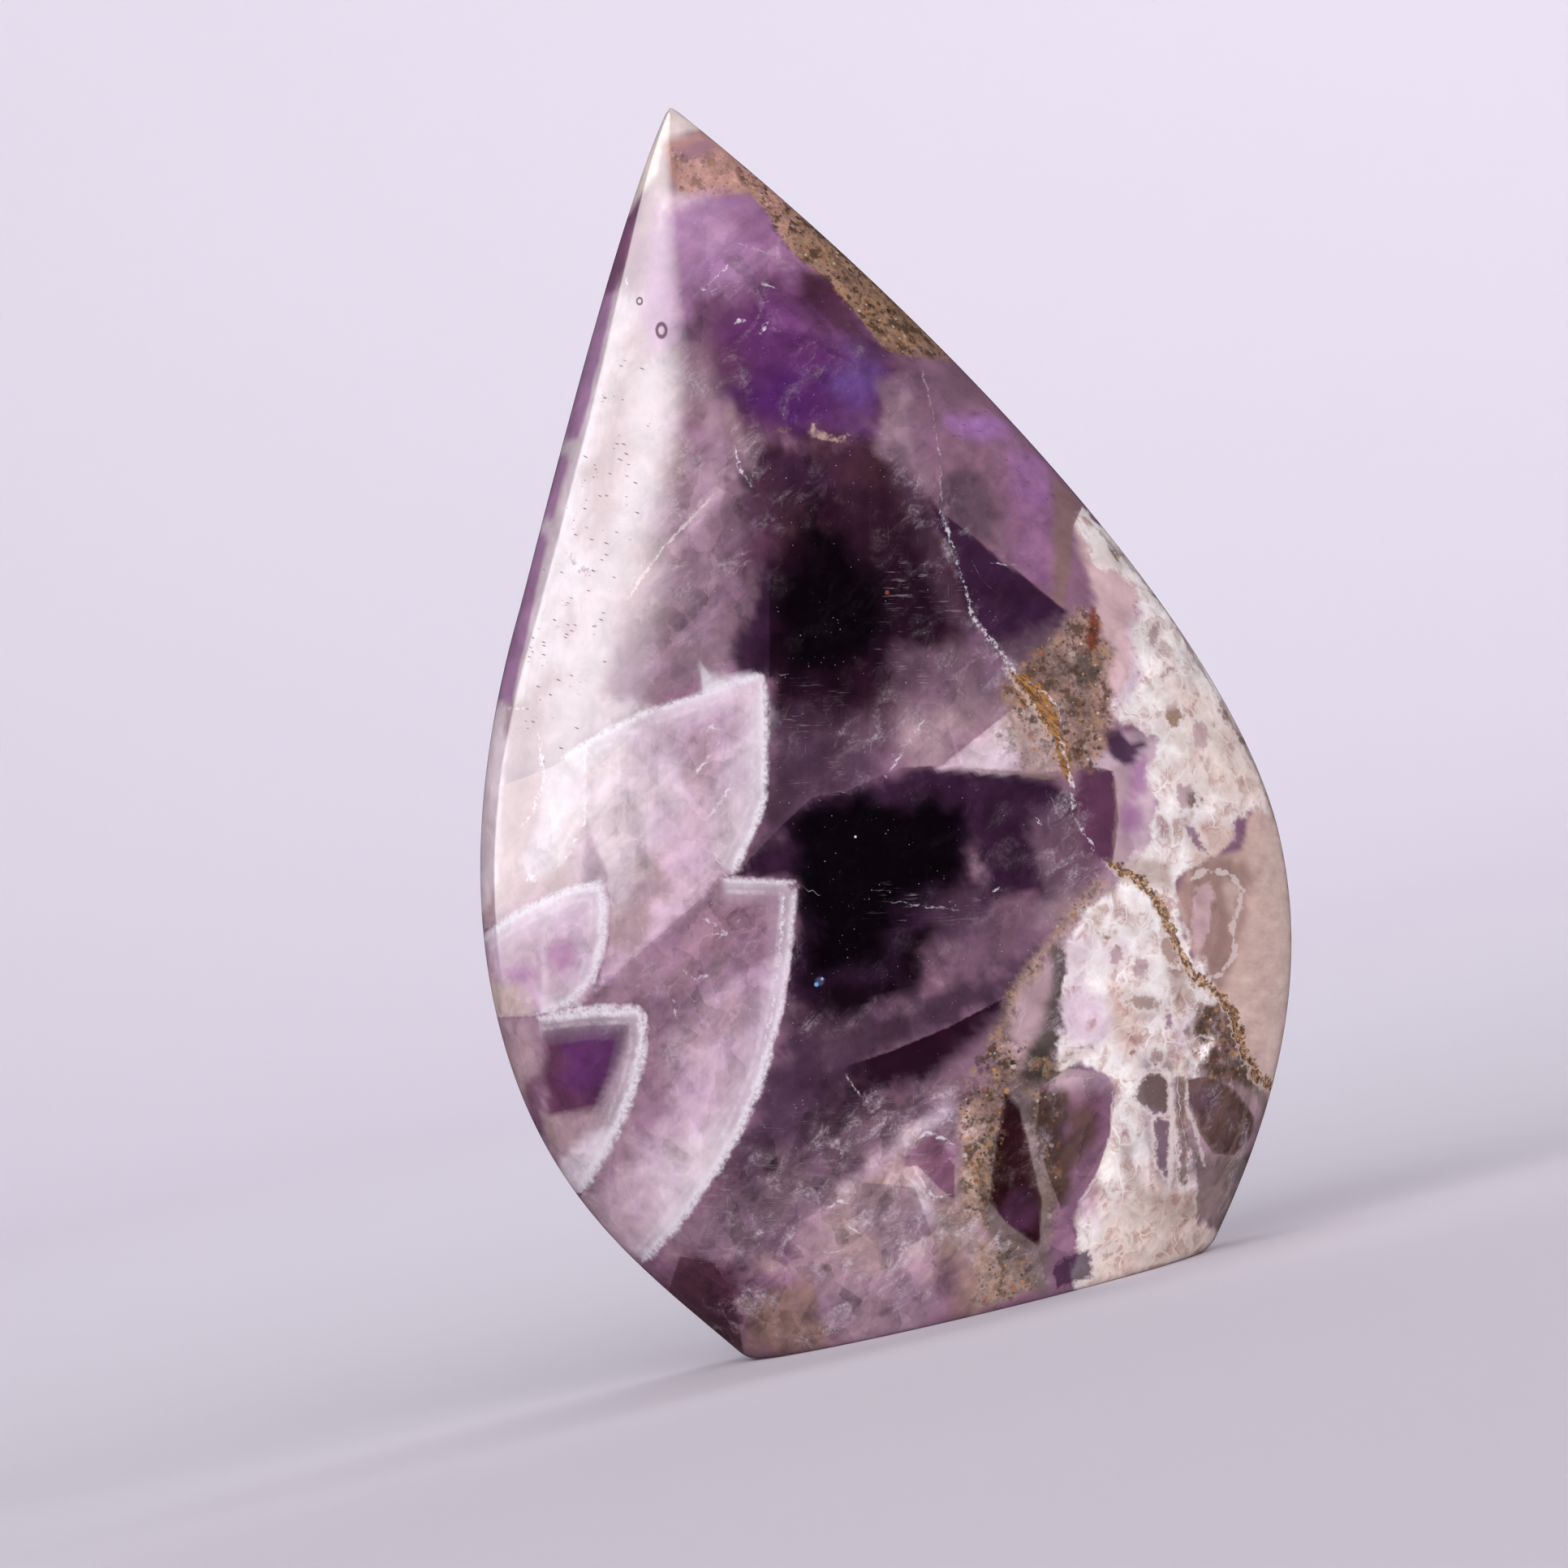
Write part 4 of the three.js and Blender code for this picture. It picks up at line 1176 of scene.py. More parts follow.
class Net:
    """Short ways to add and join the nodes of one material or node group."""

    def __init__(self, tree):
        self.tree = tree

    def add(self, kind, inputs=(), **settings):
        """Adds a node with some settings, and joins or sets its inputs by place or by name."""
        node = self.tree.nodes.new(kind)
        for name, value in settings.items():
            setattr(node, name, value)
        for key, value in dict(inputs).items():
            self.feed(node.inputs[key], value)
        return node

    def feed(self, socket, value):
        """Joins another node's socket to this one, or gives it a plain value. A plain colour is opaque."""
        if isinstance(value, bpy.types.NodeSocket):
            self.tree.links.new(value, socket)
        elif socket.type == "RGBA":
            socket.default_value = (*value, 1)
        else:
            socket.default_value = value

    def value(self, name):
        """The number that the mesh keeps under this name."""
        return self.add("ShaderNodeAttribute", attribute_name=name).outputs["Fac"]

    def colour(self, name):
        """The colour that the mesh keeps under this name."""
        return self.add("ShaderNodeAttribute", attribute_name=name).outputs["Color"]

    def math(self, operation, *values, clamp=False):
        """Arithmetic on numbers."""
        node = self.add("ShaderNodeMath", enumerate(values), operation=operation, use_clamp=clamp)
        return node.outputs[0]

    def vector(self, operation, *values):
        """Arithmetic on places."""
        return self.add("ShaderNodeVectorMath", enumerate(values), operation=operation).outputs[0]

    def times(self, one, other, clamp=False):
        """One number multiplied by another."""
        return self.math("MULTIPLY", one, other, clamp=clamp)

    def scaled(self, value, by, plus):
        """A number multiplied by a second one, with a third one added."""
        return self.math("MULTIPLY_ADD", value, by, plus)

    def rest(self, value):
        """What a number leaves of 1."""
        return self.math("SUBTRACT", 1.0, value)

    def most(self, *values):
        """The largest of some numbers."""
        largest = values[0]
        for value in values[1:]:
            largest = self.math("MAXIMUM", largest, value)
        return largest

    def step(self, value, low, high, top=1.0):
        """Rises smoothly from 0 at low to top at high."""
        inputs = {"Value": value, "From Min": low, "From Max": high, "To Min": 0.0, "To Max": top}
        return self.add("ShaderNodeMapRange", inputs, interpolation_type="SMOOTHSTEP").outputs["Result"]

    def ridge(self, value, crest, near, far):
        """1 where a number is near the crest, falling smoothly to 0 from the near to the far distance."""
        away = self.math("ABSOLUTE", self.math("SUBTRACT", value, crest))
        return self.rest(self.step(away, near, far))

    def mix(self, amount, under, over, blend="MIX"):
        """Lays one colour over another."""
        node = self.add("ShaderNodeMix", data_type="RGBA", blend_type=blend)
        self.feed(node.inputs["Factor"], amount)
        self.feed(node.inputs[6], under)
        self.feed(node.inputs[7], over)
        return node.outputs[2]

    def lit(self, tint, light):
        """A colour made darker or lighter, where a light of 1 keeps it."""
        grey = self.add("ShaderNodeCombineColor", {"Red": light, "Green": light, "Blue": light}).outputs[0]
        return self.mix(1.0, tint, grey, "MULTIPLY")

    def ramp(self, amount, stops):
        """A colour or grey read from stops of place and colour."""
        node = self.add("ShaderNodeValToRGB", {"Fac": amount})
        elements = node.color_ramp.elements
        while len(elements) > 1:
            elements.remove(elements[-1])
        elements[0].position, elements[0].color = stops[0][0], (*stops[0][1], 1)
        for place, tint in stops[1:]:
            elements.new(place).color = (*tint, 1)
        return node.outputs["Color"]

    def noise(self, place, scale, detail=4.0, roughness=0.55, distortion=0.0):
        """Cloudy noise from 0 to 1."""
        inputs = {"Vector": place, "Scale": scale, "Detail": detail, "Roughness": roughness}
        return self.add("ShaderNodeTexNoise", {**inputs, "Distortion": distortion}).outputs["Fac"]

    def cells(self, place, scale, feature="F1"):
        """A cell pattern, whose node has Distance and, for F1, Color."""
        return self.add("ShaderNodeTexVoronoi", {"Vector": place, "Scale": scale}, feature=feature)

    def chances(self, cells):
        """Three numbers from 0 to 1, drawn by lot for each cell of a pattern."""
        return self.add("ShaderNodeSeparateColor", {"Color": cells.outputs["Color"]}).outputs

    def streaks(self, place, lean, fine, long):
        """The place squeezed, so that a pattern makes streaks that lean right by some degrees."""
        inputs = {"Vector": place, "Rotation": (0, math.radians(lean), 0), "Scale": (fine, 1.0, long)}
        return self.add("ShaderNodeMapping", inputs, vector_type="TEXTURE").outputs["Vector"]

    def bent(self, place, scale, push):
        """The place pushed about by noise."""
        inputs = {"Vector": place, "Scale": scale, "Detail": 2.0, "Roughness": 0.6}
        swirl = self.add("ShaderNodeTexNoise", inputs).outputs["Color"]
        return self.vector("ADD", self.vector("MULTIPLY", swirl, (push, push, push)), place)


NUMBER = "NodeSocketFloat"
COLOUR = "NodeSocketColor"
PLACE = "NodeSocketVector"


def new_group(name, inputs, outputs):
    """An empty node group with named sockets: its net, what it is given and what it has to find."""
    tree = bpy.data.node_groups.new(name, "ShaderNodeTree")
    for in_out, sockets in (("INPUT", inputs), ("OUTPUT", outputs)):
        for socket, kind in sockets.items():
            tree.interface.new_socket(socket, in_out=in_out, socket_type=kind)
    net = Net(tree)
    return net, net.add("NodeGroupInput").outputs, net.add("NodeGroupOutput").inputs


def line_group():
    """A drawn line that wavers and swells: how much of it shows at a point."""
    sockets = ("Offset", "Width", "Shake", "Waver", "Swell", "Softness")
    net, given, found = new_group("drawn_line", dict.fromkeys(sockets, NUMBER), {"Amount": NUMBER})
    wander = net.times(given["Shake"], given["Waver"])
    distance = net.math("ABSOLUTE", net.math("ADD", given["Offset"], wander))
    half_width = net.times(net.times(given["Width"], given["Swell"]), 0.5)
    inside = net.math("DIVIDE", net.math("SUBTRACT", half_width, distance), given["Softness"])
    shows = net.step(given["Width"], 0.2, 1.6)
    net.feed(found["Amount"], net.times(net.step(inside, -0.5, 0.5), shows))
    return net.tree


def grain_group():
    """Brown matrix: fine mottling, and scattered grains of khaki, gold, rust and dark green mineral."""
    net, given, found = new_group(
        "mineral_grain", {"Place": PLACE, "Color": COLOUR, "Strength": NUMBER},
        {"Color": COLOUR, "Amount": NUMBER},
    )
    place = given["Place"]
    strength = given["Strength"]
    mottle = net.noise(place, 2.6, 2.0, 0.75)
    body = net.mix(strength, given["Color"], net.lit(given["Color"], net.scaled(mottle, 2.0, 0.02)))
    blotch = net.noise(place, 0.8, 3.0, 0.68)
    body = net.mix(net.times(strength, net.step(blotch, 0.5, 0.62, 0.85)), body, shade(70, 54, 42))
    body = net.mix(net.times(strength, net.step(blotch, 0.46, 0.34, 0.6)), body, shade(178, 142, 108))
    layers = []
    for size, density, limit in ((1.5, 0.4, 0.36), (3.4, 0.5, 0.4)):
        grains = net.cells(place, size)
        chances = net.chances(grains)
        ragged = net.scaled(mottle, 0.5, grains.outputs["Distance"])
        grain = net.rest(net.step(ragged, limit + 0.12, limit + 0.26))
        grain = net.times(grain, net.math("LESS_THAN", chances[1], density))
        grain = net.times(grain, net.times(strength, 0.85))
        tint = net.ramp(chances[0], [
            (0.0, shade(44, 38, 34)), (0.3, shade(78, 62, 50)), (0.5, shade(128, 84, 58)),
            (0.64, shade(160, 92, 58)), (0.74, shade(190, 142, 84)), (0.86, shade(84, 80, 68)),
            (1.0, shade(214, 196, 182)),
        ])
        body = net.mix(grain, body, tint)
        layers.append(grain)
    net.feed(found["Color"], body)
    net.feed(found["Amount"], net.most(*layers))
    return net.tree


def lace_group():
    """Lace quartz: white feathery walls round mauve, taupe and cream cells of mixed sizes."""
    net, given, found = new_group("lace_cells", {"Place": PLACE}, {"Color": COLOUR})
    bent = net.bent(given["Place"], 0.5, 2.4)
    mist = net.noise(bent, 0.62, 4.0, 0.58)
    body = net.ramp(mist, [
        (0.3, shade(186, 158, 156)), (0.4, shade(212, 192, 188)), (0.48, shade(232, 221, 220)),
        (0.62, shade(240, 234, 233)), (0.74, shade(226, 210, 204)),
    ])
    leaning = net.streaks(bent, 30, 0.8, 1.3)
    chances = net.chances(net.cells(leaning, 0.55))
    gap = net.cells(leaning, 0.55, "DISTANCE_TO_EDGE").outputs["Distance"]
    tint = net.ramp(chances[1], [
        (0.0, shade(160, 128, 142)), (0.25, shade(182, 150, 152)), (0.5, shade(196, 168, 158)),
        (0.75, shade(210, 188, 182)), (1.0, shade(176, 150, 134)),
    ])
    body = net.mix(net.step(gap, 0.02, 0.5, 0.3), body, shade(210, 188, 184))
    inside = net.times(net.step(gap, 0.12, 0.26), net.math("LESS_THAN", chances[0], 0.3))
    body = net.mix(net.times(inside, net.step(mist, 0.7, 0.4, 0.9)), body, tint)
    feather = net.ridge(net.noise(bent, 1.5, 3.0, 0.6), 0.5, 0.0, 0.035)
    body = net.mix(net.times(feather, 0.5), body, shade(242, 237, 236))
    shadow = net.ridge(net.noise(net.streaks(bent, 20, 1.0, 1.6), 1.1, 3.0, 0.6), 0.54, 0.0, 0.026)
    body = net.mix(net.times(shadow, net.step(mist, 0.5, 0.38, 0.5)), body, shade(184, 156, 146))
    wall = net.rest(net.step(gap, 0.015, 0.06))
    body = net.mix(net.times(wall, 0.7), body, shade(244, 239, 238))
    net.feed(found["Color"], body)
    return net.tree


def needle_group():
    """Fine straight growth marks, upright and slanting, and short level dashes."""
    net, given, found = new_group(
        "needle_marks", {"Place": PLACE, "Needles": NUMBER, "Dashes": NUMBER}, {"Amount": NUMBER}
    )
    kinds = (
        ("Needles", 13, 0.09, 2.6, 0.64, 0.8),
        ("Needles", 62, 0.1, 1.4, 0.66, 0.6),
        ("Needles", 40, 0.1, 1.3, 0.67, 0.6),
        ("Needles", -20, 0.1, 1.2, 0.67, 0.6),
        ("Dashes", 102, 0.16, 1.5, 0.57, 1.0),
    )
    layers = []
    for kind, lean, fine, long, low, power in kinds:
        streaks = net.noise(net.streaks(given["Place"], lean, fine, long), 0.9, 2.0, 0.66)
        layers.append(net.times(net.step(streaks, low, low + 0.12, power), given[kind]))
    net.feed(found["Amount"], net.most(*layers))
    return net.tree


def veil_group():
    """Milky mist and thin sheets that hang in the crystal and show as soft bright-edged wisps."""
    net, given, found = new_group("milky_veils", {"Place": PLACE}, {"Amount": NUMBER})
    place = given["Place"]
    torn = net.noise(net.streaks(place, 58, 0.75, 1.5), 0.6, 4.0, 0.68, 0.8)
    dust = net.step(net.noise(place, 3.6, 2.0, 0.8), 0.42, 0.62)
    layers = [net.times(net.step(torn, 0.47, 0.66, 0.75), net.math("ADD", dust, 0.35))]
    for lean, size in ((62, 0.5), (20, 0.7), (128, 0.6)):
        sheet = net.noise(net.streaks(place, lean, 0.5, 1.6), size, 3.0, 0.62)
        layers.append(net.times(net.ridge(sheet, 0.5, 0.0, 0.014), net.step(torn, 0.42, 0.6, 0.6)))
    net.feed(found["Amount"], net.most(*layers))
    return net.tree


def splinter_group():
    """Straight-edged splinters of crystal and soft smears, each a little lighter or darker."""
    net, given, found = new_group("crystal_splinters", {"Place": PLACE}, {"Light": NUMBER})
    place = given["Place"]
    bent = net.bent(place, 1.4, 0.7)
    smears = net.noise(net.streaks(place, 60, 0.6, 1.6), 0.7, 3.0, 0.55, 0.4)
    total = net.scaled(smears, 0.9, -0.45)
    for lean, wide, tall, size, power in ((38, 0.7, 1.6, 0.3, 0.3), (-28, 0.8, 1.4, 0.7, 0.28)):
        splinters = net.cells(net.streaks(bent, lean, wide, tall), size)
        total = net.math("ADD", total, net.scaled(net.chances(splinters)[0], power, -power / 2))
    net.feed(found["Light"], total)
    return net.tree


def pit_group():
    """Small slanting pits that the polish never reached."""
    net, given, found = new_group("polish_pits", {"Place": PLACE, "Crowd": NUMBER}, {"Amount": NUMBER})
    spots = net.cells(net.streaks(given["Place"], 125, 0.24, 1.3), 1.0)
    limit = net.rest(net.times(given["Crowd"], 0.5))
    chosen = net.step(net.math("SUBTRACT", net.chances(spots)[2], limit), 0.0, 0.04)
    bend = net.times(net.noise(given["Place"], 3.0, 2.0), 0.3)
    body = net.rest(net.step(net.math("ADD", spots.outputs["Distance"], bend), 0.27, 0.38))
    net.feed(found["Amount"], net.times(body, chosen))
    return net.tree


def spot_group():
    """How far a point lies from one spot on the picture, where 1 is the spot's own rim."""
    sockets = ("Place", "Spot", "Size")
    net, given, found = new_group("picture_spot", dict.fromkeys(sockets, PLACE), {"Rim": NUMBER})
    share = net.vector("DIVIDE", net.vector("SUBTRACT", given["Place"], given["Spot"]), given["Size"])
    length = net.add("ShaderNodeVectorMath", {0: share}, operation="LENGTH")
    net.feed(found["Rim"], length.outputs["Value"])
    return net.tree


def place_group(net, tree, **inputs):
    """Puts a node group in a net, feeds its sockets and gives what it finds."""
    node = net.add("ShaderNodeGroup", node_tree=tree)
    for name, value in inputs.items():
        net.feed(node.inputs[name.title()], value)
    return node.outputs


def amethyst_material(settings, palette):
    """Banded amethyst under a high polish."""
    material = bpy.data.materials.new("polished_amethyst")
    material.use_nodes = True
    net = Net(material.node_tree)
    shader = material.node_tree.nodes["Principled BSDF"]
    metres = net.add("ShaderNodeTexCoord").outputs["Object"]
    place = net.add("ShaderNodeVectorMath", {0: metres, "Scale": 1 / MM}, operation="SCALE").outputs[0]
    drawn_line = line_group()
    spot = spot_group()
    white = palette.frost

    # Ground, lace and its cells, then the two layers of crystal blocks. Each edge wavers by some pixels.
    shake = net.math("SUBTRACT", net.noise(place, 2.4, 2.0, 0.65), 0.5)
    swell = net.step(net.noise(place, 1.1, 2.0, 0.7), 0.3, 0.66, 1.5)
    lace = place_group(net, lace_group(), place=place)["Color"]
    tinted_lace = net.mix(1.0, lace, net.colour("lace_tint"), "MULTIPLY")
    lace_edge = net.scaled(shake, 12.0, net.value("lace_edge"))
    body = net.mix(net.step(lace_edge, -5.0, 5.0), net.colour("ground_colour"), tinted_lace)
    cell_edge = net.scaled(shake, 16.0, net.value("cell_edge"))
    rimmed = net.most(net.step(lace_edge, 0.0, 12.0), net.times(net.value("fibre"), 0.4))
    cell_rim = net.times(net.ridge(cell_edge, -2.0, 0.5, 4.5), net.times(rimmed, 0.6))
    body = net.mix(cell_rim, body, palette.lace)
    body = net.mix(net.step(cell_edge, -2.0, 4.0, 0.85), body, net.colour("cell_colour"))
    for layer, waver in (("first", 3.0), ("second", 4.0)):
        edge = net.scaled(shake, waver, net.value(layer + "_edge"))
        body = net.mix(net.step(edge, -1.5, 1.5), body, net.colour(layer + "_colour"))

    # Clouds in the crystal, faint upright bands, and a slow drift of the tint.
    cloud = net.noise(place, 0.36, 5.0, 0.6, 0.5)
    bands = net.noise(net.streaks(place, 14, 0.3, 3.0), 0.6, 2.0, 0.6)
    banding = net.times(net.math("SUBTRACT", bands, 0.5), net.times(net.value("strata"), 0.45))
    splinters = place_group(net, splinter_group(), place=place)["Light"]
    mottle = net.value("mottle")
    uneven = net.math("ADD", banding, net.times(splinters, mottle))
    body = net.lit(body, net.math("ADD", net.scaled(cloud, 1.1, 0.45), uneven))
    drift = net.ramp(net.noise(place, 0.32, 2.0, 0.62), [
        (0.4, (0.97, 0.92, 1.0)), (0.5, (0.98, 0.98, 0.97)), (0.6, (1.0, 0.99, 0.92)),
    ])
    drifted = net.mix(1.0, body, drift, "MULTIPLY")
    body = net.mix(net.times(mottle, 0.8, clamp=True), body, drifted)

    # Brown matrix.
    grain = place_group(net, grain_group(), place=place, color=body, strength=net.value("grain"))
    body = grain["Color"]

    # Veils, needles, dashes and glitter in the clear crystal.
    veil = net.times(place_group(net, veil_group(), place=place)["Amount"], net.value("veil"))
    body = net.mix(net.times(veil, 0.5, clamp=True), body, palette.milk)
    marks = place_group(
        net, needle_group(), place=place, needles=net.value("needles"), dashes=net.value("dashes")
    )
    body = net.mix(net.times(marks["Amount"], 0.28), body, palette.milk)
    for size, radius, share in ((1.6, 0.07, 0.75), (3.4, 0.13, 0.6)):
        dots = net.cells(place, size)
        dot = net.rest(net.step(dots.outputs["Distance"], radius * 0.5, radius))
        dot = net.times(dot, net.step(net.chances(dots)[0], share, 1.0))
        body = net.mix(net.times(dot, net.value("glitter")), body, white)

    # Fibrous agate.
    fibres = net.noise(net.streaks(place, 100, 0.6, 2.0), 0.7, 4.0, 0.66)
    fibre_tint = net.ramp(fibres, [
        (0.28, shade(168, 142, 134)), (0.5, shade(200, 175, 166)), (0.74, shade(228, 212, 204)),
    ])
    body = net.mix(net.times(net.value("fibre"), 0.5), body, fibre_tint)

    def drawn(name, waver, swelling, softness, aside=0.0):
        """How much of a family of lines shows, moved aside by some pixels."""
        offset = net.math("ADD", net.value(name + "_offset"), aside)
        family = place_group(
            net, drawn_line, offset=offset, width=net.value(name + "_width"), shake=shake, waver=waver,
            swell=swelling, softness=softness,
        )
        return family["Amount"]

    # Frosted outlines, with a glow and a second faint line on their inner side.
    frost_offset = net.value("frost_offset")
    glow = net.math("POWER", 2.718, net.math("DIVIDE", net.math("ABSOLUTE", frost_offset), -14.0))
    second_line = net.times(net.ridge(frost_offset, 15.0, 0.5, 4.5), swell)
    glow = net.scaled(second_line, 0.28, glow)
    glow = net.times(glow, net.step(frost_offset, -1.0, 3.0))
    glow = net.times(glow, net.step(net.value("frost_width"), 0.5, 5.0, 0.6))
    glow = net.times(glow, net.scaled(cloud, 1.6, 0.2))
    body = net.mix(glow, body, white)
    frost = drawn("frost", 6.0, net.scaled(swell, 0.4, 0.6), 7.0)
    rime = net.step(net.noise(place, 3.2, 2.0, 0.75), 0.34, 0.62, 0.5)
    body = net.mix(net.times(frost, net.math("ADD", rime, 0.36)), body, white)

    # Amber glass, thin silver lines, pale rims, brown stains and open cracks with a pale lip.
    fine = net.noise(place, 3.6, 2.0, 0.75)
    broken = net.step(net.noise(place, 2.0, 3.0, 0.8), 0.43, 0.58, 0.68)
    golden = net.step(net.noise(net.streaks(place, -35, 0.4, 1.6), 2.2, 2.0, 0.75), 0.42, 0.6, 0.95)
    strokes = (
        ("amber", 8.0, 3.0, 0.9, shade(98, 66, 44)),
        ("amber", 12.0, 6.0, golden, shade(170, 122, 70)),
        ("silver", 10.0, 2.5, broken, palette.frost),
        ("rim", 8.0, 2.5, 0.6, palette.lace),
        ("stain", 6.0, 3.0, 0.55, palette.umber),
    )
    for name, waver, softness, cover, tint in strokes:
        body = net.mix(net.times(drawn(name, waver, swell, softness), cover), body, tint)
    crack_swell = net.scaled(swell, 0.75, 0.3)
    body = net.mix(net.times(drawn("crack", 14.0, crack_swell, 3.0, aside=3.0), 0.7), body, palette.cream)
    crack = drawn("crack", 14.0, crack_swell, 2.5)
    crack_tint = net.ramp(fine, [
        (0.34, shade(46, 32, 26)), (0.46, shade(104, 74, 50)), (0.55, shade(168, 122, 76)),
        (0.66, shade(206, 182, 160)),
    ])
    body = net.mix(net.times(crack, 0.92), body, crack_tint)

    # Single spots: two ring shaped pits, small glints and one blue spark.
    picture = net.add("ShaderNodeAttribute", attribute_name="picture_place").outputs["Vector"]
    rings = []
    for x, y, half_width, half_height in RING_PITS:
        rim = place_group(net, spot, place=picture, spot=(x, y, 0), size=(half_width, half_height, 1))
        rings.append(net.ridge(rim["Rim"], 0.8, 0.15, 0.4))
    dents = net.most(*rings)
    body = net.mix(net.times(dents, 0.8), body, palette.wine)
    for x, y, size, tint in GLINTS:
        rim = place_group(net, spot, place=picture, spot=(x, y, 0), size=(size, size, 1))
        body = net.mix(net.rest(net.step(rim["Rim"], 0.5, 1.2)), body, shade(*tint))

    # Pits, seen as dark dashes where the window's reflection lies.
    pits = place_group(net, pit_group(), place=place, crowd=net.value("pits"))["Amount"]
    body = net.mix(net.times(pits, 0.85), body, palette.plum)

    rough = net.scaled(grain["Amount"], 0.14, settings.polish)
    rough = net.scaled(crack, 0.4, rough)
    rough = net.scaled(net.most(pits, dents), 0.7, rough)
    net.feed(shader.inputs["Base Color"], body)
    net.feed(shader.inputs["Roughness"], rough)
    shader.inputs["IOR"].default_value = settings.glass
    return material


class AMETHYST_OT_stone(bpy.types.Operator):
    """Make the polished flame, with its bands, veins, lace and cracks"""

    bl_idname = "amethyst.stone"
    bl_label = "Make the stone"

    def execute(self, context):
        settings = context.scene.amethyst_stone
        palette = context.scene.amethyst_colours
        form = bmesh.new()
        bmesh.ops.create_uvsphere(form, u_segments=settings.around, v_segments=settings.levels, radius=1)
        mesh = bpy.data.meshes.new("polished_flame")
        form.to_mesh(mesh)
        form.free()
        unit = np.empty(len(mesh.vertices) * 3)
        mesh.vertices.foreach_get("co", unit)
        points = stone_form(unit.reshape(-1, 3), settings)
        face = draw_markings(mesh, points, palette)
        points = cut_cracks(points, face, settings)
        mesh.vertices.foreach_set("co", (points * MM).ravel())
        mesh.shade_smooth()
        mesh.update()
        stone = bpy.data.objects.new("polished_flame", mesh)
        context.scene.collection.objects.link(stone)
        mesh.materials.append(amethyst_material(settings, palette))
        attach(stone, "root")
        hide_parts(NODE)
        return {"FINISHED"}


def stage_material(settings):
    """Matt paper of the floor and the backdrop."""
    material = bpy.data.materials.new("lavender_paper")
    material.use_nodes = True
    net = Net(material.node_tree)
    shader = material.node_tree.nodes["Principled BSDF"]
    place = net.add("ShaderNodeTexCoord").outputs["Object"]
    darker = [part * 0.97 for part in settings.floor_colour]
    cloudy = net.mix(net.noise(place, 3.0, 2.0), settings.floor_colour, darker)
    net.feed(shader.inputs["Base Color"], cloudy)
    shader.inputs["Roughness"].default_value = 0.9
    shader.inputs["Specular IOR Level"].default_value = 0.1
    return material


def look_at(target, place, roll=0.0):
    """A placing at one point that faces another, with +Z kept up before the roll."""
    facing = (Vector(target) - Vector(place)).to_track_quat("-Z", "Y").to_matrix().to_4x4()
    return Matrix.Translation(place) @ facing @ Matrix.Rotation(roll, 4, "Z")


def soft_light(name, place, target, size, power, tint):
    """A soft light that the polish doesn't mirror."""
    light = bpy.data.lights.new(name, "AREA")
    light.shape = "RECTANGLE"
    light.size, light.size_y = size
    light.energy = power
    light.color = tint
    lamp = bpy.data.objects.new(name, light)
    lamp.matrix_world = look_at(target, place)
    lamp.visible_glossy = False
    bpy.context.scene.collection.objects.link(lamp)


# The panel's brightness from its far side to the camera's side, and from its foot to its top.
GLOW_ACROSS = [
    (0.0, 0.0), (0.04, 0.75), (0.38, 0.9), (0.5, 1.0), (0.68, 1.0), (0.8, 0.75), (0.9, 0.4), (1.0, 0.0),
]
GLOW_UPWARD = [(0.0, 0.0), (0.1, 1.0), (0.7, 1.0), (0.9, 0.5), (1.0, 0.2)]


def glow_panel(name, place, target, size, brightness):
    """An upright panel that only reflections see, brightest in its middle, like a curtained window."""
    form = bmesh.new()
    bmesh.ops.create_grid(form, x_segments=1, y_segments=1, size=1.0)
    mesh = bpy.data.meshes.new(name)
    form.to_mesh(mesh)
    form.free()
    mesh.transform(Matrix.Diagonal((size[0] / 2, size[1] / 2, 1, 1)))
    panel = bpy.data.objects.new(name, mesh)
    panel.matrix_world = look_at(target, place)
    bpy.context.scene.collection.objects.link(panel)
    material = bpy.data.materials.new(name)
    material.use_nodes = True
    tree = material.node_tree
    tree.nodes.clear()
    net = Net(tree)
    spot = net.add("ShaderNodeSeparateXYZ", {0: net.add("ShaderNodeTexCoord").outputs["Object"]})
    rise = net.scaled(spot.outputs[1], 1 / size[1], 0.5)
    side = net.scaled(spot.outputs[0], 1 / size[0], 0.5)
    side = net.math("ADD", side, net.step(rise, 0.24, 0.1, 0.13))
    across = net.ramp(side, [(stop, (light, light, light)) for stop, light in GLOW_ACROSS])
    upward = net.ramp(rise, [(stop, (light, light, light)) for stop, light in GLOW_UPWARD])
    glow = net.mix(1.0, across, upward, "MULTIPLY")
    emission = net.add("ShaderNodeEmission", {"Color": glow, "Strength": brightness})
    out = net.add("ShaderNodeOutputMaterial")
    tree.links.new(emission.outputs[0], out.inputs["Surface"])
    mesh.materials.append(material)
    panel.visible_camera = False
    panel.visible_diffuse = False
    panel.visible_shadow = False
    panel.visible_transmission = False


# The paper, in metres: it lies flat up to the bend, curves up over a quarter turn and stands upright above.
PAPER_HALF_LENGTH = 1.6
PAPER_MIDDLE = 0.55
PAPER_HALF_WIDTH = 2.0
BEND_START = 0.7
BEND_RADIUS = 0.4
BEND_LENGTH = 0.63

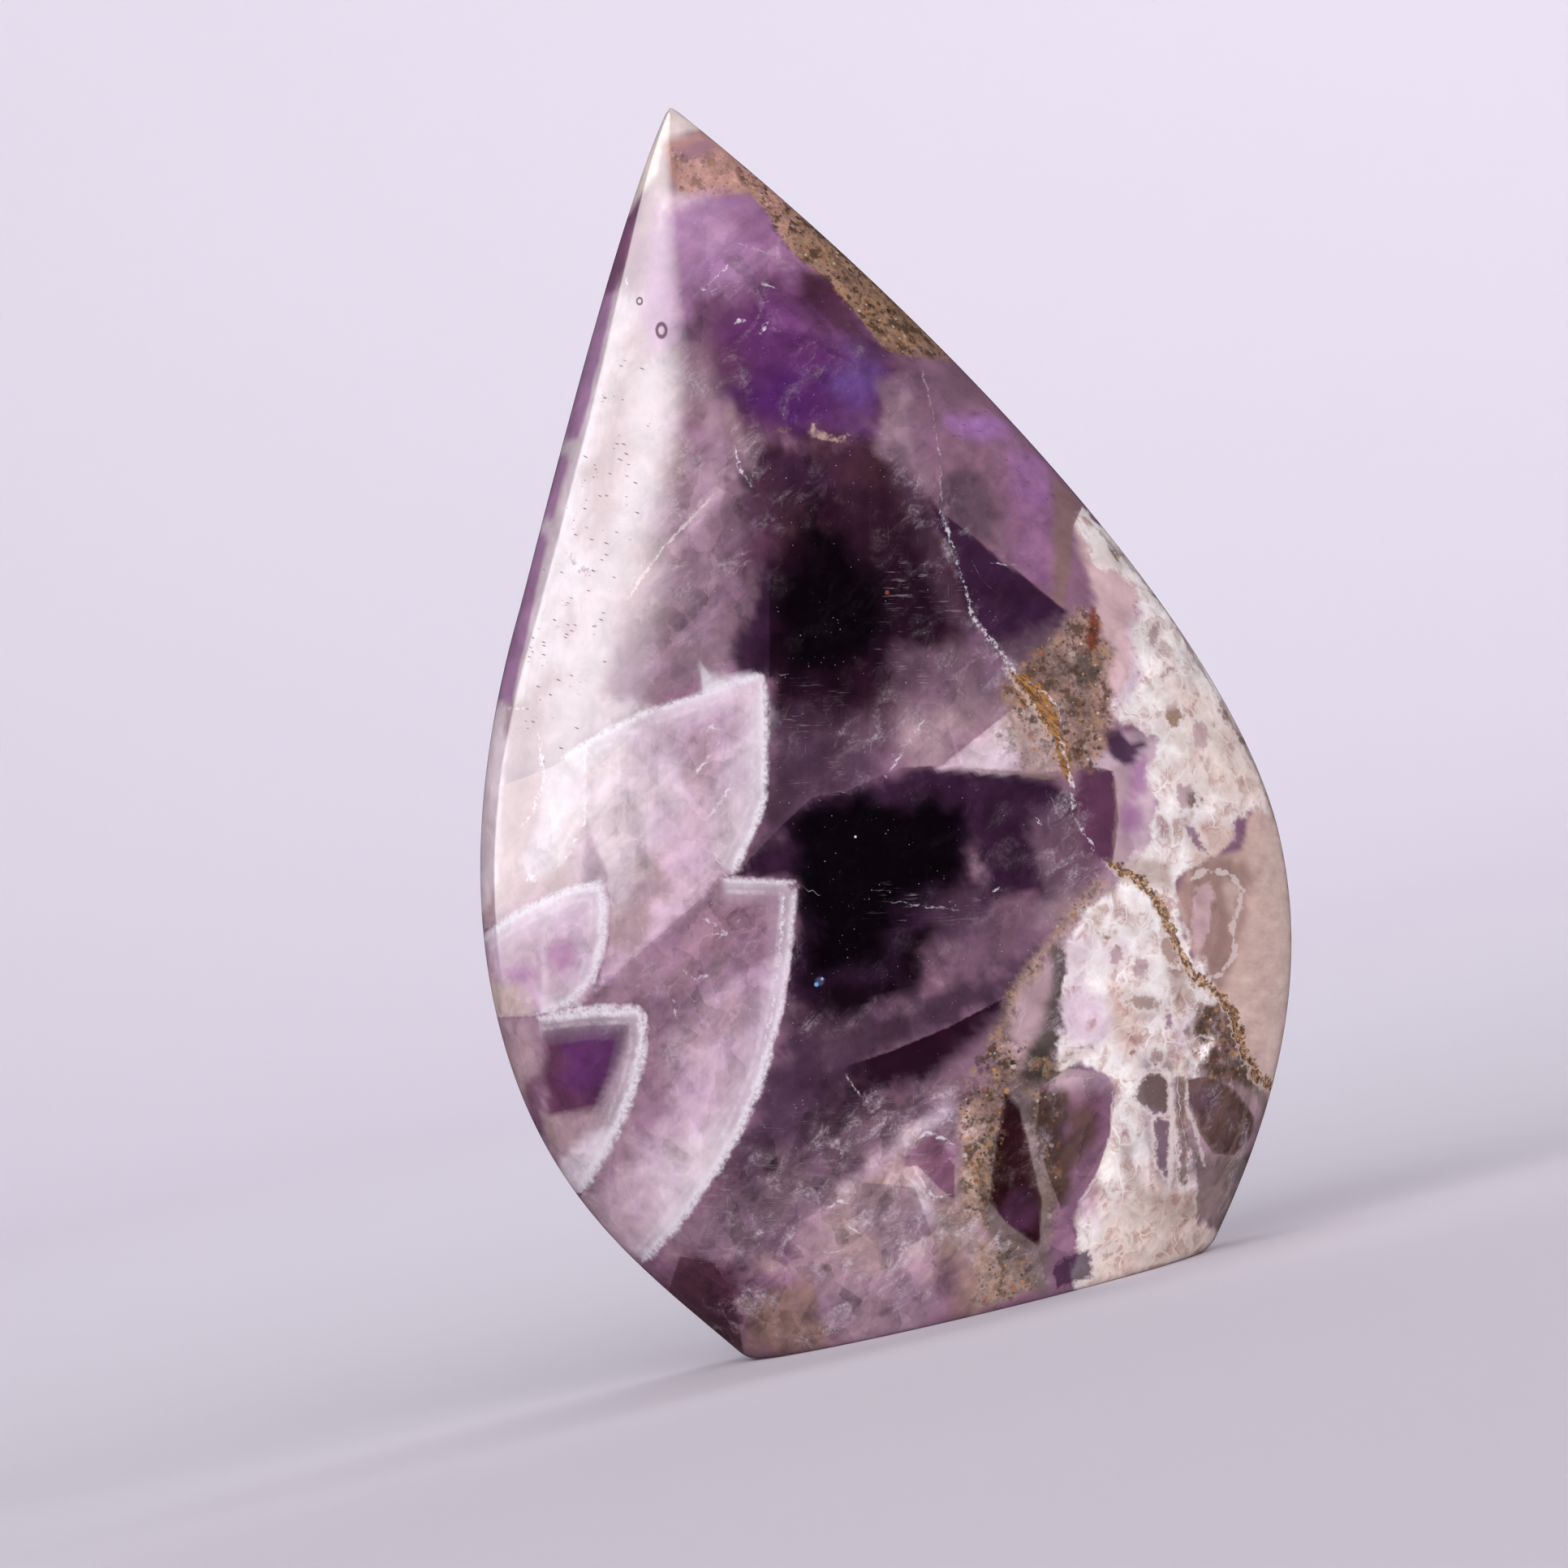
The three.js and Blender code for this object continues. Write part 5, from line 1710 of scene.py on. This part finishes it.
# Soft lights: name, place, the point that it faces, size, power in watts and tint.
STONE_MIDDLE = (0, 0, 0.04)
LIGHTS = [
    ("front_light", (0.05, -1.3, 0.5), STONE_MIDDLE, (1.1, 1.1), 10.0, (1.0, 0.985, 0.99)),
    ("key_light", (-0.5, -0.6, 0.8), STONE_MIDDLE, (0.7, 0.7), 2.8, (1.0, 0.98, 0.97)),
    ("fill_light", (0.7, -0.7, 0.3), STONE_MIDDLE, (0.8, 0.8), 4.2, (1.0, 0.97, 0.98)),
    ("backdrop_light", (0.35, 0.3, 1.0), (0.3, 1.2, 0.4), (1.2, 0.6), 9.8, (1.0, 0.985, 1.0)),
    ("low_light", (-0.7, -0.5, 0.06), STONE_MIDDLE, (0.5, 0.4), 2.2, (1.0, 0.96, 0.95)),
]
# The panel that the polish mirrors as a long highlight on the left.
WINDOW_PLACE = (-0.57, -0.185, 0.65)
WINDOW_TARGET = (0, 0, 0.65)
WINDOW_SIZE = (1.0, 1.2)
WINDOW_BRIGHTNESS = 8.2


class AMETHYST_OT_stage(bpy.types.Operator):
    """Make the floor, the lights and the camera"""

    bl_idname = "amethyst.stage"
    bl_label = "Make the stage"

    def execute(self, context):
        settings = context.scene.amethyst_stage
        self.floor(settings)
        self.lights(settings)
        self.camera(context.scene)
        self.world(context.scene)
        context.scene.view_settings.view_transform = "Standard"
        return {"FINISHED"}

    def floor(self, settings):
        """A sheet of paper that curves up behind the stone."""
        form = bmesh.new()
        bmesh.ops.create_grid(form, x_segments=1, y_segments=40, size=1.0)
        mesh = bpy.data.meshes.new("paper_sweep")
        form.to_mesh(mesh)
        form.free()
        for point in mesh.vertices:
            way = point.co.y * PAPER_HALF_LENGTH + PAPER_MIDDLE
            angle = min(max(way - BEND_START, 0.0), BEND_LENGTH) / BEND_RADIUS
            back = min(way, BEND_START) + BEND_RADIUS * math.sin(angle)
            rise = max(way - BEND_START - BEND_LENGTH, 0.0)
            point.co = (point.co.x * PAPER_HALF_WIDTH, back, BEND_RADIUS * (1 - math.cos(angle)) + rise)
        mesh.shade_smooth()
        sweep = bpy.data.objects.new("paper_sweep", mesh)
        bpy.context.scene.collection.objects.link(sweep)
        mesh.materials.append(stage_material(settings))
        sweep.visible_glossy = False

    def lights(self, settings):
        """Soft lights that the polish doesn't mirror, and the one panel that it does."""
        shares = {"key_light": settings.key_power, "fill_light": settings.fill_power}
        for name, place, target, size, power, tint in LIGHTS:
            soft_light(name, place, target, size, power * shares.get(name, 1.0), tint)
        brightness = WINDOW_BRIGHTNESS * settings.glow_power
        glow_panel("window_panel", WINDOW_PLACE, WINDOW_TARGET, WINDOW_SIZE, brightness)

    def camera(self, scene):
        view = bpy.data.cameras.new("picture_camera")
        view.sensor_width = SENSOR
        view.lens = SENSOR * CAMERA_DISTANCE * PIXELS_PER_MM / PICTURE_SIDE
        camera = bpy.data.objects.new("picture_camera", view)
        centre = Vector((PICTURE_CENTRE_X, 0, PICTURE_CENTRE_Z)) * MM
        away = Vector((0, -CAMERA_DISTANCE * MM, 0))
        camera.matrix_world = look_at(centre, centre + away, -ROLL)
        scene.collection.objects.link(camera)
        scene.camera = camera

    def world(self, scene):
        world = bpy.data.worlds.new("dim_room")
        world.use_nodes = True
        background = world.node_tree.nodes["Background"]
        background.inputs["Color"].default_value = (*shade(214, 208, 222), 1)
        background.inputs["Strength"].default_value = 0.04
        scene.world = world


class AMETHYST_PT_panel(bpy.types.Panel):
    """The settings and the makers of the stone and its stage"""

    bl_label = "Amethyst flame"
    bl_space_type = "VIEW_3D"
    bl_region_type = "UI"
    bl_category = "Amethyst"

    def draw(self, context):
        scene = context.scene
        for settings in (scene.amethyst_stone, scene.amethyst_stage, scene.amethyst_colours):
            box = self.layout.box()
            for name in settings.__annotations__:
                box.prop(settings, name)
        self.layout.operator("amethyst.stone")
        self.layout.operator("amethyst.stage")


CLASSES = (
    StoneColours, StoneSettings, StageSettings, AMETHYST_OT_stone, AMETHYST_OT_stage, AMETHYST_PT_panel,
)


def register():
    for item in CLASSES:
        bpy.utils.register_class(item)
    bpy.types.Scene.amethyst_colours = PointerProperty(type=StoneColours)
    bpy.types.Scene.amethyst_stone = PointerProperty(type=StoneSettings)
    bpy.types.Scene.amethyst_stage = PointerProperty(type=StageSettings)


def unregister():
    del bpy.types.Scene.amethyst_stage
    del bpy.types.Scene.amethyst_stone
    del bpy.types.Scene.amethyst_colours
    for item in reversed(CLASSES):
        bpy.utils.unregister_class(item)


def main():
    register()
    bpy.ops.amethyst.stone()
    bpy.ops.amethyst.stage()


if __name__ == "__main__":
    main()
